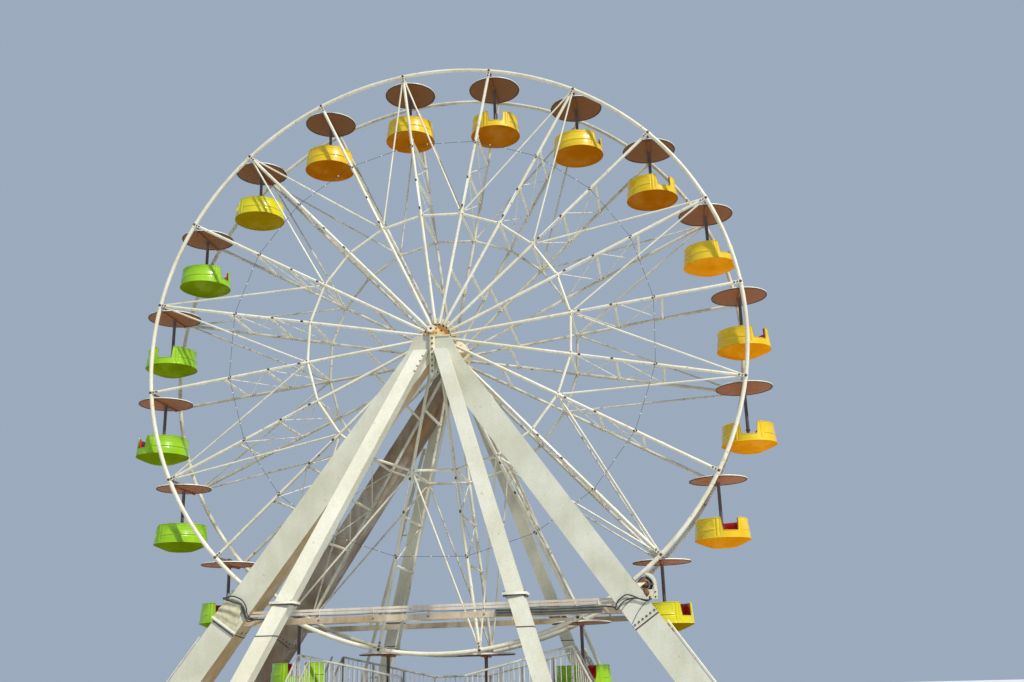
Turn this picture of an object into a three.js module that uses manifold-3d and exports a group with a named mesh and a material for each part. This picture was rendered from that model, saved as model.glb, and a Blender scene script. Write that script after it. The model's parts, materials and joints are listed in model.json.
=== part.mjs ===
// Ferris wheel with twenty open round gondolas, carried by two raked A-frames.
// Millimetres, +Z up. The wheel's axle runs along Y and the front of the wheel faces -Y.
// The origin is on the ground, at the middle of the footprint.

import * as THREE from 'three';
import { mergeVertices } from 'three/addons/utils/BufferGeometryUtils.js';
import Module from 'manifold-3d';

const wasm = await Module();
wasm.setup();

// Driving dimensions of the wheel
const STATIONS = 20;
const STATION_STEP = (2 * Math.PI) / STATIONS;
const FIRST_ANGLE = THREE.MathUtils.degToRad(-60.85);
const HUB_HEIGHT = 10710;
const RIM_RADIUS = 8500;
const RIM_PLANE = 967;
const RIM_TUBE = 114;
const RIM_FACETS = 40;
const RING_RADIUS = 3785;
const RING_TUBE = 76;
const SPOKE_TUBE = 89;
const SPOKE_START = 400;
const SPOKE_HUB_PLANE = 1120;
const ROD_DIAMETER = 50;
const LUG_RADIUS = RIM_TUBE / 2;
const LUG_FACE = 870;

// Hub, axle and bearings
const AXLE_RADIUS = 110;
const AXLE_END = 1960;
const AXLE_SIDES = 24;
const DRUM_RADIUS = 300;
const FLANGE_RADIUS = 560;
const FLANGE_THICKNESS = 36;
const BEARING_WIDTH = 460;
const BEARING_DEPTH = 300;
const BEARING_TOP = 170;
const BEARING_CENTRE = 1600;

// Gondolas, measured down from their own axle
const CANOPY_RADIUS = 778;
const CANOPY_SIDES = 12;
const CANOPY_CROWN = -20;
const CANOPY_EDGE_TOP = -75;
const CANOPY_EDGE_BOTTOM = -110;
const CANOPY_BELLY = -135;
const CANOPY_BEAM = { reach: 740, width: 60, top: -105, bottom: -165 };
const POST_RADIUS = 45;
const PIVOT_RADIUS = 30;
const TUB_SIDES = 16;
const TUB_BOTTOM = -1875;
const TUB_FOOT_RADIUS = 330;
const TUB_BOWL = { radius: 596, height: 110 };
const TUB_BELT = { radius: 745, height: 175 };
const TUB_RIM_RADIUS = 690;
const TUB_WALL = 45;
const TUB_FLOOR = 70;
const BENCH_HEIGHT = 330;
const BENCH_FRONT_RADIUS = 400;
const LOW_RIM = 370;
const HIGH_BACK = 710;
const ENTRY_WIDTH = 440;
const ENTRY_TURN = 14;
const ENTRY_TURNS = {
  1: 79, 2: -58, 3: -72, 4: -77, 5: 10, 6: 70, 7: 32, 8: 40, 9: 37, 10: -2, 11: 16, 12: 54, 18: -60, 19: -35, 20: 7,
};

// Tower legs. Each pair is given at its head and at its foot, on the side where x is positive.
const LEG_WIDTH = 680;
const LEG_HEAD = { x: 330, reach: 1822, z: HUB_HEIGHT - 723, depth: 480 };
const LEG_FOOT = { x: 7290, reach: 2980, z: 0, depth: 900 };
const LEG_TUCK = 0.03;
const HEAD_TOP = HUB_HEIGHT - 170;
const HEAD_SHOULDER = 480;
const RAKER_SECTION = 345;
const FRONT_RAKER_HEAD = new THREE.Vector3(122, -1614, HUB_HEIGHT - 185);
const FRONT_RAKER_FOOT = new THREE.Vector3(3770, -7180, 0);
const REAR_RAKER_HEAD = new THREE.Vector3(210, 1700, HUB_HEIGHT - 300);
const REAR_RAKER_FOOT = new THREE.Vector3(3600, 5500, 0);
const RAKER_TOP = HUB_HEIGHT - 610;
const RAKER_JOINT = { height: 3320, width: 530, depth: 560, thickness: 50 };
const STAY_TUBE = 90;
const STAY_OFFSETS = { head: 300, foot: 750 };
const STAY_START = 0.2;
const STAY_LINKS = [0.02, 0.3, 0.55, 0.8];
const STAY_LINK_SIZE = 50;
const FOOT_PLATE = 30;
const FOOT_MARGIN = 120;

// Tie beams between the two main legs of each side
const TIE_HEIGHT = 3080;
const TIE_CHORD = 150;
const TIE_PIPE = 60;
const TIE_PIPE_RISE = [170, 250];
const TIE_CLIPS = 7;
const TIE_SETBACK = 240;

// Loading decks in front of and behind the passing gondolas
const DECK_INNER = 880;
const DECK_OUTER = 1950;
const DECK_LOW_HALF = 800;
const DECK_LOW_TOP = 560;
const DECK_END = 3500;
const DECK_HIGH_TOP = 1180;
const DECK_THICKNESS = 60;
const DECK_POST = 80;
const RAIL_HEIGHT = 1100;
const RAIL_TUBE = 45;
const RAIL_LOWEST = 900;
const RAIL_BAYS = 3;
const LADDER_RUN = 560;
const LADDER_TREADS = 4;
const TREAD_DEPTH = 200;
const TREAD_THICKNESS = 40;
const STRINGER = 50;
const ENTRY_STEP_DEPTH = 300;

// Friction drive at the right front leg
const ROLLER_RADIUS = 200;
const ROLLER_WIDTH = 120;
const ROLLER_GAP = 5;
const ROLLER_ANGLE = THREE.MathUtils.degToRad(142.6);
const SHAFT_RADIUS = 25;
const ROLLER_BORE_RADIUS = 26.5;
const DRIVE_ARM = 90;
const DRIVE_PLATE = 20;
const GUARD_RADIUS = 255;
const GUARD_THICKNESS = 14;

// Touching pieces keep this gap
const GAP = 0.3;

// The wheel's plane stands ahead of the origin by half the difference of the rakers' reach
const FOOTPRINT_SHIFT = (Math.abs(FRONT_RAKER_FOOT.y) - REAR_RAKER_FOOT.y) / 2;

const paint = (color, roughness, metalness) => new THREE.MeshStandardMaterial({ color, roughness, metalness });
const CREAM = paint(0xd9d4c0, 0.5, 0.2);
const TERRACOTTA = paint(0xa9634a, 0.6, 0.0);
const YELLOW = paint(0xf2b705, 0.35, 0.0);
const LIME = paint(0x8fd114, 0.35, 0.0);
const RUST = paint(0xb5651d, 0.7, 0.3);
const DARK_STEEL = paint(0x4a4640, 0.6, 0.5);
const RUBBER = paint(0x26221f, 0.9, 0.0);
const DECK_GREY = paint(0x8f8d86, 0.7, 0.3);

const model = new THREE.Group();
const everything = new THREE.Group();
everything.position.set(0, FOOTPRINT_SHIFT, 0);
model.add(everything);

// Solids and shapes

function toSolid(geometry) {
  const bare = geometry.clone();
  bare.deleteAttribute('normal');
  bare.deleteAttribute('uv');
  const merged = mergeVertices(bare, 1e-3);
  return new wasm.Manifold(new wasm.Mesh({
    numProp: 3,
    vertProperties: new Float32Array(merged.attributes.position.array),
    triVerts: new Uint32Array(merged.index.array),
  }));
}

function toGeometry(solid) {
  const mesh = solid.getMesh();
  const geometry = new THREE.BufferGeometry();
  geometry.setAttribute('position', new THREE.BufferAttribute(mesh.vertProperties, 3));
  geometry.setIndex(new THREE.BufferAttribute(mesh.triVerts, 1));
  geometry.computeVertexNormals();
  return geometry;
}

function fuse(geometries) {
  return geometries.map(toSolid).reduce((whole, piece) => whole.add(piece));
}

function point(x, y, z) {
  return new THREE.Vector3(x, y, z);
}

// A closed body between two polygons with the same number of corners
function loft(first, last) {
  const count = first.length;
  const index = [];
  for (let i = 0; i < count; i++) {
    const j = (i + 1) % count;
    index.push(i, j, count + j, i, count + j, count + i);
  }
  for (let i = 1; i < count - 1; i++) {
    index.push(0, i + 1, i);
    index.push(count, count + i, count + i + 1);
  }
  const geometry = new THREE.BufferGeometry();
  const corners = [...first, ...last].flatMap((corner) => corner.toArray());
  geometry.setAttribute('position', new THREE.Float32BufferAttribute(corners, 3));
  geometry.setIndex(index);
  return geometry;
}

// Two directions square to a bar, the first as near to the wheel's axis as the bar allows
function crossDirections(along) {
  const reference = Math.abs(along.y) > 0.95 ? point(0, 0, 1) : point(0, 1, 0);
  const across = reference.clone().addScaledVector(along, -reference.dot(along)).normalize();
  const third = new THREE.Vector3().crossVectors(along, across);
  return [across, third];
}

// A straight bar with few sides; its size is measured across the flats
function bar(start, end, size, sides = 6) {
  const along = end.clone().sub(start).normalize();
  const [across, third] = crossDirections(along);
  const radius = size / 2 / Math.cos(Math.PI / sides);
  const section = (centre) => Array.from({ length: sides }, (_, i) => {
    const angle = ((i + 0.5) / sides) * 2 * Math.PI;
    return centre.clone()
      .addScaledVector(across, radius * Math.cos(angle))
      .addScaledVector(third, radius * Math.sin(angle));
  });
  return loft(section(start), section(end));
}

// A bar whose ends lie in two planes, each given by a normal and its distance from the origin
function barBetweenPlanes(on, along, size, startPlane, endPlane) {
  const [across, third] = crossDirections(along);
  const corners = [[1, 1], [-1, 1], [-1, -1], [1, -1]].map(([a, b]) => on.clone()
    .addScaledVector(across, (a * size) / 2)
    .addScaledVector(third, (b * size) / 2));
  const meet = (corner, plane) => {
    const travel = (plane.distance - plane.normal.dot(corner)) / plane.normal.dot(along);
    return corner.clone().addScaledVector(along, travel);
  };
  return loft(corners.map((c) => meet(c, startPlane)), corners.map((c) => meet(c, endPlane)));
}

function box(low, high) {
  const size = high.clone().sub(low);
  const middle = low.clone().add(high).multiplyScalar(0.5);
  return new THREE.BoxGeometry(size.x, size.y, size.z).translate(middle.x, middle.y, middle.z);
}

// A turned body about the Y axis; the profile is radius and y, from the rear end to the front end
function turnedAboutY(profile, sides) {
  return new THREE.LatheGeometry(profile.map(([r, y]) => new THREE.Vector2(r, y)), sides);
}

// A turned body about the Z axis; the profile is radius and z, from the bottom to the top
function turnedAboutZ(profile, sides) {
  return turnedAboutY(profile, sides).rotateX(Math.PI / 2);
}

// A ring of tube around the wheel's axis
function ringTube(radius, plane, size, facets, sides) {
  const corner = size / 2 / Math.cos(Math.PI / sides);
  const positions = [];
  const index = [];
  for (let i = 0; i < facets; i++) {
    const turn = FIRST_ANGLE + (i / facets) * 2 * Math.PI;
    for (let j = 0; j < sides; j++) {
      const roll = ((j + 0.5) / sides) * 2 * Math.PI;
      const r = radius + corner * Math.sin(roll);
      positions.push(r * Math.sin(turn), plane + corner * Math.cos(roll), HUB_HEIGHT + r * Math.cos(turn));
      const a = i * sides + j;
      const b = i * sides + ((j + 1) % sides);
      const c = ((i + 1) % facets) * sides + ((j + 1) % sides);
      const d = ((i + 1) % facets) * sides + j;
      index.push(a, b, c, a, c, d);
    }
  }
  const geometry = new THREE.BufferGeometry();
  geometry.setAttribute('position', new THREE.Float32BufferAttribute(positions, 3));
  geometry.setIndex(index);
  return geometry;
}

function addMesh(name, geometry, material, parent = everything) {
  const mesh = new THREE.Mesh(geometry, material.clone());
  mesh.name = name;
  parent.add(mesh);
  return mesh;
}

// Places on the wheel

function stationAngle(station) {
  return FIRST_ANGLE + (station - 1) * STATION_STEP;
}

function onWheel(station, radius, y) {
  const angle = stationAngle(station);
  return point(radius * Math.sin(angle), y, HUB_HEIGHT + radius * Math.cos(angle));
}

// The spokes spread a little towards the hub
function spokePlane(radius) {
  const share = (radius - SPOKE_START) / (RIM_RADIUS - SPOKE_START);
  return SPOKE_HUB_PLANE + (RIM_PLANE - SPOKE_HUB_PLANE) * share;
}

// Wheel

function bearingLug(station, side) {
  const start = onWheel(station, RIM_RADIUS, side * RIM_PLANE);
  const end = onWheel(station, RIM_RADIUS, side * LUG_FACE);
  return bar(start, end, 2 * LUG_RADIUS, 6);
}

// One flat side of the wheel: rim, spokes, inner ring, diagonal rods and bearing lugs
function wheelSide(side) {
  const pieces = [
    ringTube(RIM_RADIUS, side * RIM_PLANE, RIM_TUBE, RIM_FACETS, 6),
    ringTube(RING_RADIUS, side * spokePlane(RING_RADIUS), RING_TUBE, STATIONS, 4),
  ];
  for (let station = 1; station <= STATIONS; station++) {
    const rimNode = onWheel(station, RIM_RADIUS, side * RIM_PLANE);
    pieces.push(bar(onWheel(station, SPOKE_START, side * SPOKE_HUB_PLANE), rimNode, SPOKE_TUBE, 4));
    pieces.push(bearingLug(station, side));
    if (station % 2 === 0) {
      for (const neighbour of [station - 1, station + 1]) {
        const ringNode = onWheel(neighbour, RING_RADIUS, side * spokePlane(RING_RADIUS));
        pieces.push(bar(rimNode, ringNode, ROD_DIAMETER, 4));
      }
    }
  }
  return toGeometry(fuse(pieces));
}

function addWheelSides() {
  addMesh('wheel_front_side', wheelSide(-1), CREAM);
  addMesh('wheel_rear_side', wheelSide(1), CREAM);
}

function addHub() {
  const face = spokePlane(FLANGE_RADIUS) - SPOKE_TUBE / 2 - GAP;
  const back = face - FLANGE_THICKNESS;
  const half = [
    [DRUM_RADIUS, back],
    [FLANGE_RADIUS, back],
    [FLANGE_RADIUS, face],
    [AXLE_RADIUS, face],
    [AXLE_RADIUS, AXLE_END],
    [0, AXLE_END],
  ];
  const profile = [...half.map(([r, y]) => [r, -y]).reverse(), ...half];
  const hub = turnedAboutY(profile, AXLE_SIDES).translate(0, 0, HUB_HEIGHT);
  addMesh('hub_and_axle', hub, RUST);
}

// Gondolas

function canopyAndHanger() {
  const foot = TUB_BOTTOM + TUB_FLOOR + GAP;
  const canopyOnPost = turnedAboutZ([
    [0, foot],
    [POST_RADIUS, foot],
    [POST_RADIUS, CANOPY_BELLY],
    [CANOPY_RADIUS * 0.96, CANOPY_EDGE_BOTTOM],
    [CANOPY_RADIUS, CANOPY_EDGE_TOP],
    [0, CANOPY_CROWN],
  ], CANOPY_SIDES);
  const pivot = bar(point(0, -LUG_FACE + 2 * GAP, 0), point(0, LUG_FACE - 2 * GAP, 0), 2 * PIVOT_RADIUS, 4);
  const beam = box(
    point(-CANOPY_BEAM.width / 2, -CANOPY_BEAM.reach, CANOPY_BEAM.bottom),
    point(CANOPY_BEAM.width / 2, CANOPY_BEAM.reach, CANOPY_BEAM.top),
  );
  return toGeometry(fuse([canopyOnPost, pivot, beam]));
}

// The wall leans in from the belt to the rim
function tubWallRadius(height) {
  const share = (height - TUB_BELT.height) / (HIGH_BACK - TUB_BELT.height);
  return TUB_BELT.radius + (TUB_RIM_RADIUS - TUB_BELT.radius) * share;
}

function tub() {
  const shell = turnedAboutZ([
    [0, 0],
    [TUB_FOOT_RADIUS, 0],
    [TUB_BOWL.radius, TUB_BOWL.height],
    [TUB_BELT.radius, TUB_BELT.height],
    [TUB_RIM_RADIUS, HIGH_BACK],
    [TUB_RIM_RADIUS - TUB_WALL, HIGH_BACK],
    [tubWallRadius(BENCH_HEIGHT) - TUB_WALL, BENCH_HEIGHT],
    [BENCH_FRONT_RADIUS, BENCH_HEIGHT],
    [BENCH_FRONT_RADIUS, TUB_FLOOR],
    [0, TUB_FLOOR],
  ], TUB_SIDES);
  const cut = box(
    point(-ENTRY_WIDTH / 2, -2 * TUB_BELT.radius, LOW_RIM),
    point(ENTRY_WIDTH / 2, 2 * TUB_BELT.radius, 2 * HIGH_BACK),
  );
  const solid = toSolid(shell).subtract(toSolid(cut));
  return toGeometry(solid).translate(0, 0, TUB_BOTTOM);
}

// Most tubs hang turned about their post; the turn goes from the front towards the right
function entryTurn(station) {
  return THREE.MathUtils.degToRad(ENTRY_TURNS[station] ?? ENTRY_TURN);
}

function addGondolas() {
  const canopyShape = canopyAndHanger();
  const tubShape = tub();
  for (let station = 1; station <= STATIONS; station++) {
    const label = String(station).padStart(2, '0');
    const place = new THREE.Group();
    place.position.copy(onWheel(station, RIM_RADIUS, 0));
    everything.add(place);
    addMesh(`gondola_${label}_canopy`, canopyShape, TERRACOTTA, place);
    const isYellow = station >= 2 && station <= 12;
    const turned = tubShape.clone().rotateZ(entryTurn(station));
    addMesh(`gondola_${label}_tub`, turned, isYellow ? YELLOW : LIME, place);
  }
}

// Tower

function footPlate(corners) {
  const bounds = new THREE.Box3().setFromPoints(corners);
  return box(
    point(bounds.min.x - FOOT_MARGIN, bounds.min.y - FOOT_MARGIN, 0),
    point(bounds.max.x + FOOT_MARGIN, bounds.max.y + FOOT_MARGIN, FOOT_PLATE),
  );
}

// The four edges of a main leg on the side of positive x: across its width, then through its depth
function legEdges(end) {
  const across = point(LEG_HEAD.z - LEG_FOOT.z, 0, LEG_FOOT.x - LEG_HEAD.x).normalize();
  return [[1, 0], [-1, 0], [-1, 1], [1, 1]].map(([side, inward]) => point(end.x, -end.reach, end.z)
    .addScaledVector(across, (side * LEG_WIDTH) / 2)
    .add(point(0, inward * end.depth, 0)));
}

function mainLeg() {
  const heads = legEdges(LEG_HEAD);
  const feet = legEdges(LEG_FOOT);
  const tops = heads.map((head, i) => head.clone().lerp(feet[i], -LEG_TUCK));
  const bottoms = heads.map((head, i) => {
    const travel = (head.z - FOOT_PLATE / 2) / (head.z - feet[i].z);
    return head.clone().lerp(feet[i], travel);
  });
  const [innerEnd, outerEnd] = [0.15, 0.995].map((share) => heads[1].clone().lerp(heads[0], share)
    .lerp(feet[1].clone().lerp(feet[0], share), LEG_TUCK / 2));
  const outline = new THREE.Shape([
    new THREE.Vector2(0, HEAD_TOP),
    new THREE.Vector2(0, LEG_HEAD.z),
    new THREE.Vector2(innerEnd.x, innerEnd.z),
    new THREE.Vector2(outerEnd.x, outerEnd.z),
    new THREE.Vector2(HEAD_SHOULDER, HEAD_TOP),
  ]);
  const head = new THREE.ExtrudeGeometry(outline, { depth: LEG_HEAD.depth, bevelEnabled: false })
    .rotateX(Math.PI / 2)
    .translate(0, -LEG_HEAD.reach + LEG_HEAD.depth, 0);
  const girder = loft(tops, bottoms);
  return rightHalf(fuse([head, girder, footPlate(bottoms)]), HEAD_TOP);
}

function raker(head, foot, facePlane) {
  const along = foot.clone().sub(head).normalize();
  const start = { normal: point(0, 1, 0), distance: facePlane };
  const end = { normal: point(0, 0, 1), distance: FOOT_PLATE / 2 };
  const leg = barBetweenPlanes(head, along, RAKER_SECTION, start, end);
  const joint = head.clone().addScaledVector(along, (RAKER_JOINT.height - head.z) / along.z);
  const half = point(RAKER_JOINT.width, RAKER_JOINT.depth, RAKER_JOINT.thickness).divideScalar(2);
  const plate = box(joint.clone().sub(half), joint.clone().add(half));
  const spread = RAKER_SECTION / 2;
  const corners = [point(-spread, -spread, 0), point(spread, spread, 0)].map((offset) => foot.clone().add(offset));
  return [leg, plate, footPlate(corners)];
}

// The rear rakers have a lighter stay beside them, held by short links
function rearStay(head, foot) {
  const start = head.clone().lerp(foot, STAY_START).add(point(STAY_OFFSETS.head, 0, 0));
  const end = foot.clone().add(point(STAY_OFFSETS.foot, 0, STAY_TUBE / 2));
  const pieces = [bar(start, end, STAY_TUBE, 6), footPlate([point(end.x, end.y, 0)])];
  for (const share of STAY_LINKS) {
    const onStay = start.clone().lerp(end, share);
    const onRaker = head.clone().lerp(foot, (head.z - onStay.z) / (head.z - foot.z));
    pieces.push(bar(onStay, onRaker, STAY_LINK_SIZE, 4));
  }
  return pieces;
}

// Keeps what lies to the right of the middle and under a level top
function rightHalf(solid, top) {
  const far = 2 * LEG_FOOT.x;
  return solid.intersect(toSolid(box(point(GAP / 2, -far, 0), point(far, far, top))));
}

function mirrored(solid, x, y) {
  return solid.scale([x, y, 1]);
}

// Cuts a solid back from its neighbour and leaves the touching gap between them
function clearOf(solid, neighbour) {
  const shifts = [[1, 0, 0], [-1, 0, 0], [0, 1, 0], [0, -1, 0], [0, 0, 1], [0, 0, -1]];
  return shifts.reduce(
    (rest, shift) => rest.subtract(neighbour.translate(shift.map((step) => step * GAP))),
    solid,
  );
}

function addTower() {
  const leg = mainLeg();
  const facePlane = LEG_HEAD.reach + GAP;
  const frontPieces = raker(FRONT_RAKER_HEAD, FRONT_RAKER_FOOT, -facePlane);
  const frontRaker = clearOf(rightHalf(fuse(frontPieces), RAKER_TOP), leg);
  const rearPieces = [
    ...raker(REAR_RAKER_HEAD, REAR_RAKER_FOOT, facePlane),
    ...rearStay(REAR_RAKER_HEAD, REAR_RAKER_FOOT),
  ];
  const rearRaker = clearOf(rightHalf(fuse(rearPieces), RAKER_TOP), mirrored(leg, 1, -1));
  for (const [side, x] of [['left', -1], ['right', 1]]) {
    addMesh(`front_${side}_main_leg`, toGeometry(mirrored(leg, x, 1)), CREAM);
    addMesh(`rear_${side}_main_leg`, toGeometry(mirrored(leg, x, -1)), CREAM);
    addMesh(`front_${side}_raker`, toGeometry(mirrored(frontRaker, x, 1)), CREAM);
    addMesh(`rear_${side}_raker`, toGeometry(mirrored(rearRaker, x, 1)), CREAM);
  }
}

function addBearings() {
  const block = toSolid(box(
    point(-BEARING_WIDTH / 2, -BEARING_CENTRE - BEARING_DEPTH / 2, HEAD_TOP + GAP),
    point(BEARING_WIDTH / 2, -BEARING_CENTRE + BEARING_DEPTH / 2, HUB_HEIGHT + BEARING_TOP),
  ));
  const bore = bar(point(0, -AXLE_END, HUB_HEIGHT), point(0, 0, HUB_HEIGHT), 2 * AXLE_RADIUS + 2 * GAP, AXLE_SIDES);
  const bearing = block.subtract(toSolid(bore));
  addMesh('front_bearing', toGeometry(bearing), DARK_STEEL);
  addMesh('rear_bearing', toGeometry(mirrored(bearing, 1, -1)), DARK_STEEL);
}

// Distance from the middle of the tower to a main leg's inner side, at a height
function legInnerPlane() {
  const [, inner] = legEdges(LEG_HEAD);
  const normal = point(LEG_HEAD.z - LEG_FOOT.z, 0, LEG_FOOT.x - LEG_HEAD.x).normalize();
  return { normal, distance: normal.dot(inner) - GAP };
}

function legReachAt(height) {
  const share = (LEG_HEAD.z - height) / (LEG_HEAD.z - LEG_FOOT.z);
  return LEG_HEAD.reach + (LEG_FOOT.reach - LEG_HEAD.reach) * share;
}

function addTieBeams() {
  const rightPlane = legInnerPlane();
  const leftPlane = { normal: point(-rightPlane.normal.x, 0, rightPlane.normal.z), distance: rightPlane.distance };
  const reach = legReachAt(TIE_HEIGHT) - TIE_SETBACK;
  const along = point(1, 0, 0);
  const pieces = [barBetweenPlanes(point(0, -reach, TIE_HEIGHT), along, TIE_CHORD, leftPlane, rightPlane)];
  for (const rise of TIE_PIPE_RISE) {
    pieces.push(barBetweenPlanes(point(0, -reach, TIE_HEIGHT + rise), along, TIE_PIPE, leftPlane, rightPlane));
  }
  const span = 4200;
  for (let i = 0; i < TIE_CLIPS; i++) {
    const x = -span + (2 * span * i) / (TIE_CLIPS - 1);
    pieces.push(box(
      point(x - 20, -reach - 25, TIE_HEIGHT),
      point(x + 20, -reach + 25, TIE_HEIGHT + TIE_PIPE_RISE[1]),
    ));
  }
  const beam = fuse(pieces);
  addMesh('front_tie_beam', toGeometry(beam), CREAM);
  addMesh('rear_tie_beam', toGeometry(mirrored(beam, 1, -1)), CREAM);
}

// Loading decks

function deckTop(x) {
  const share = (Math.abs(x) - DECK_LOW_HALF) / (DECK_END - DECK_LOW_HALF);
  return DECK_LOW_TOP + (DECK_HIGH_TOP - DECK_LOW_TOP) * Math.max(0, share);
}

function deckFloor() {
  const stations = [-DECK_END, -DECK_LOW_HALF, DECK_LOW_HALF, DECK_END];
  const upper = stations.map((x) => new THREE.Vector2(x, deckTop(x)));
  const lower = stations.map((x) => new THREE.Vector2(x, deckTop(x) - DECK_THICKNESS)).reverse();
  return new THREE.ExtrudeGeometry(new THREE.Shape([...lower, ...upper]), {
    depth: DECK_OUTER - DECK_INNER,
    bevelEnabled: false,
  }).rotateX(Math.PI / 2).translate(0, -DECK_INNER, 0);
}

function railPanel(side) {
  const y = -DECK_OUTER + RAIL_TUBE / 2;
  const start = side * DECK_LOW_HALF;
  const end = side * (DECK_END - RAIL_TUBE / 2);
  const pieces = [RAIL_HEIGHT, RAIL_HEIGHT - RAIL_LOWEST].map((rise) => bar(
    point(start, y, deckTop(start) + rise),
    point(end, y, deckTop(end) + rise),
    RAIL_TUBE,
    4,
  ));
  for (let i = 0; i <= RAIL_BAYS; i++) {
    const x = start + ((end - start) * i) / RAIL_BAYS;
    pieces.push(bar(point(x, y, deckTop(x) - DECK_THICKNESS / 2), point(x, y, deckTop(x) + RAIL_HEIGHT), RAIL_TUBE, 4));
  }
  return pieces;
}

function deckPosts() {
  const pieces = [];
  const rows = [-DECK_INNER - DECK_POST, -DECK_OUTER + DECK_POST];
  for (const x of [-DECK_END + DECK_POST, -DECK_LOW_HALF, DECK_LOW_HALF, DECK_END - DECK_POST]) {
    for (const y of rows) {
      pieces.push(bar(point(x, y, 0), point(x, y, deckTop(x) - DECK_THICKNESS / 2), DECK_POST, 4));
    }
    pieces.push(bar(point(x, rows[0], 100), point(x, rows[1], 100), 60, 4));
  }
  return pieces;
}

// A steep stair at each outer end of a deck
function ladder(side) {
  const top = point(side * DECK_END, 0, DECK_HIGH_TOP);
  const rows = [-DECK_INNER - STRINGER / 2, -DECK_OUTER + STRINGER / 2];
  const pieces = [];
  for (const y of rows) {
    pieces.push(barBetweenPlanes(
      point(top.x, y, top.z - 2 * TREAD_THICKNESS),
      point(side * LADDER_RUN, 0, -DECK_HIGH_TOP).normalize(),
      STRINGER * 2,
      { normal: point(side, 0, 0), distance: DECK_END - STRINGER },
      { normal: point(0, 0, 1), distance: 0 },
    ));
    pieces.push(bar(
      point(top.x - (side * RAIL_TUBE) / 2, y, DECK_HIGH_TOP + RAIL_HEIGHT),
      point(side * (DECK_END + LADDER_RUN), y, RAIL_HEIGHT),
      RAIL_TUBE,
      4,
    ));
    pieces.push(bar(
      point(side * (DECK_END + LADDER_RUN), y, 0),
      point(side * (DECK_END + LADDER_RUN), y, RAIL_HEIGHT + RAIL_TUBE / 2),
      RAIL_TUBE,
      4,
    ));
  }
  for (let i = 1; i <= LADDER_TREADS; i++) {
    const share = i / (LADDER_TREADS + 1);
    const x = side * (DECK_END + LADDER_RUN * share);
    const z = DECK_HIGH_TOP * (1 - share);
    pieces.push(box(
      point(x - TREAD_DEPTH / 2, rows[1], z - TREAD_THICKNESS),
      point(x + TREAD_DEPTH / 2, rows[0], z),
    ));
  }
  return pieces;
}

// Two broad steps lead up to the low middle of the front deck
function entrySteps() {
  return [1, 2].map((step) => box(
    point(-DECK_LOW_HALF, -DECK_OUTER - ENTRY_STEP_DEPTH * step, 0),
    point(DECK_LOW_HALF, -DECK_OUTER + DECK_POST, (DECK_LOW_TOP * (3 - step)) / 3),
  ));
}

function addDecks() {
  const common = [deckFloor(), ...deckPosts(), ...ladder(-1), ...ladder(1), ...railPanel(-1), ...railPanel(1)];
  addMesh('front_loading_deck', toGeometry(fuse([...common, ...entrySteps()])), DECK_GREY);
  const bridge = [RAIL_HEIGHT, RAIL_HEIGHT - RAIL_LOWEST].map((rise) => bar(
    point(-DECK_LOW_HALF, -DECK_OUTER + RAIL_TUBE / 2, DECK_LOW_TOP + rise),
    point(DECK_LOW_HALF, -DECK_OUTER + RAIL_TUBE / 2, DECK_LOW_TOP + rise),
    RAIL_TUBE,
    4,
  ));
  addMesh('rear_loading_deck', toGeometry(mirrored(fuse([...common, ...bridge]), 1, -1)), DECK_GREY);
}

// Friction drive

function rollerCentre() {
  const radius = RIM_RADIUS + RIM_TUBE / 2 / Math.cos(Math.PI / 6) + ROLLER_GAP + ROLLER_RADIUS;
  return point(radius * Math.sin(ROLLER_ANGLE), -RIM_PLANE, HUB_HEIGHT + radius * Math.cos(ROLLER_ANGLE));
}

function addDrive() {
  const centre = rollerCentre();
  const half = ROLLER_WIDTH / 2;
  const roller = turnedAboutY([
    [ROLLER_BORE_RADIUS, -half],
    [ROLLER_RADIUS, -half],
    [ROLLER_RADIUS, half],
    [ROLLER_BORE_RADIUS, half],
    [ROLLER_BORE_RADIUS, -half],
  ], AXLE_SIDES).translate(centre.x, centre.y, centre.z);
  addMesh('drive_roller', roller, RUBBER);

  const [outer] = legEdges(LEG_HEAD);
  const normal = legInnerPlane().normal;
  const seat = { normal, distance: normal.dot(outer) + GAP };
  const plateFace = { normal, distance: seat.distance + DRIVE_PLATE };
  const reach = legReachAt(centre.z);
  const onLeg = point(centre.x, -reach + 350, centre.z);
  const pieces = [
    barBetweenPlanes(onLeg, normal, 420, seat, plateFace),
    barBetweenPlanes(onLeg, normal, 120, seat, { normal: point(1, 0, 0), distance: centre.x + DRIVE_ARM / 2 }),
    bar(point(centre.x, -reach + 300, centre.z), point(centre.x, centre.y - half - 40, centre.z), DRIVE_ARM, 4),
    bar(
      point(centre.x, centre.y - half - 60, centre.z),
      point(centre.x, centre.y + half + 20, centre.z),
      2 * SHAFT_RADIUS,
      12,
    ),
  ];
  const guard = new THREE.Shape();
  guard.absarc(0, 0, GUARD_RADIUS, -0.9, 1.3, false);
  guard.absarc(0, 0, GUARD_RADIUS - GUARD_THICKNESS, 1.3, -0.9, true);
  pieces.push(new THREE.ExtrudeGeometry(guard, { depth: ROLLER_WIDTH + 130, bevelEnabled: false, curveSegments: 8 })
    .rotateX(Math.PI / 2)
    .translate(centre.x, centre.y + half + 20, centre.z));
  pieces.push(bar(
    point(centre.x, centre.y - half - 80, centre.z),
    point(centre.x + GUARD_RADIUS - GUARD_THICKNESS / 2, centre.y - half - 80, centre.z),
    40,
    4,
  ));
  addMesh('drive_bracket', toGeometry(fuse(pieces)), CREAM);
}

addWheelSides();
addHub();
addGondolas();
addTower();
addBearings();
addTieBeams();
addDecks();
addDrive();

export default model;
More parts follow.
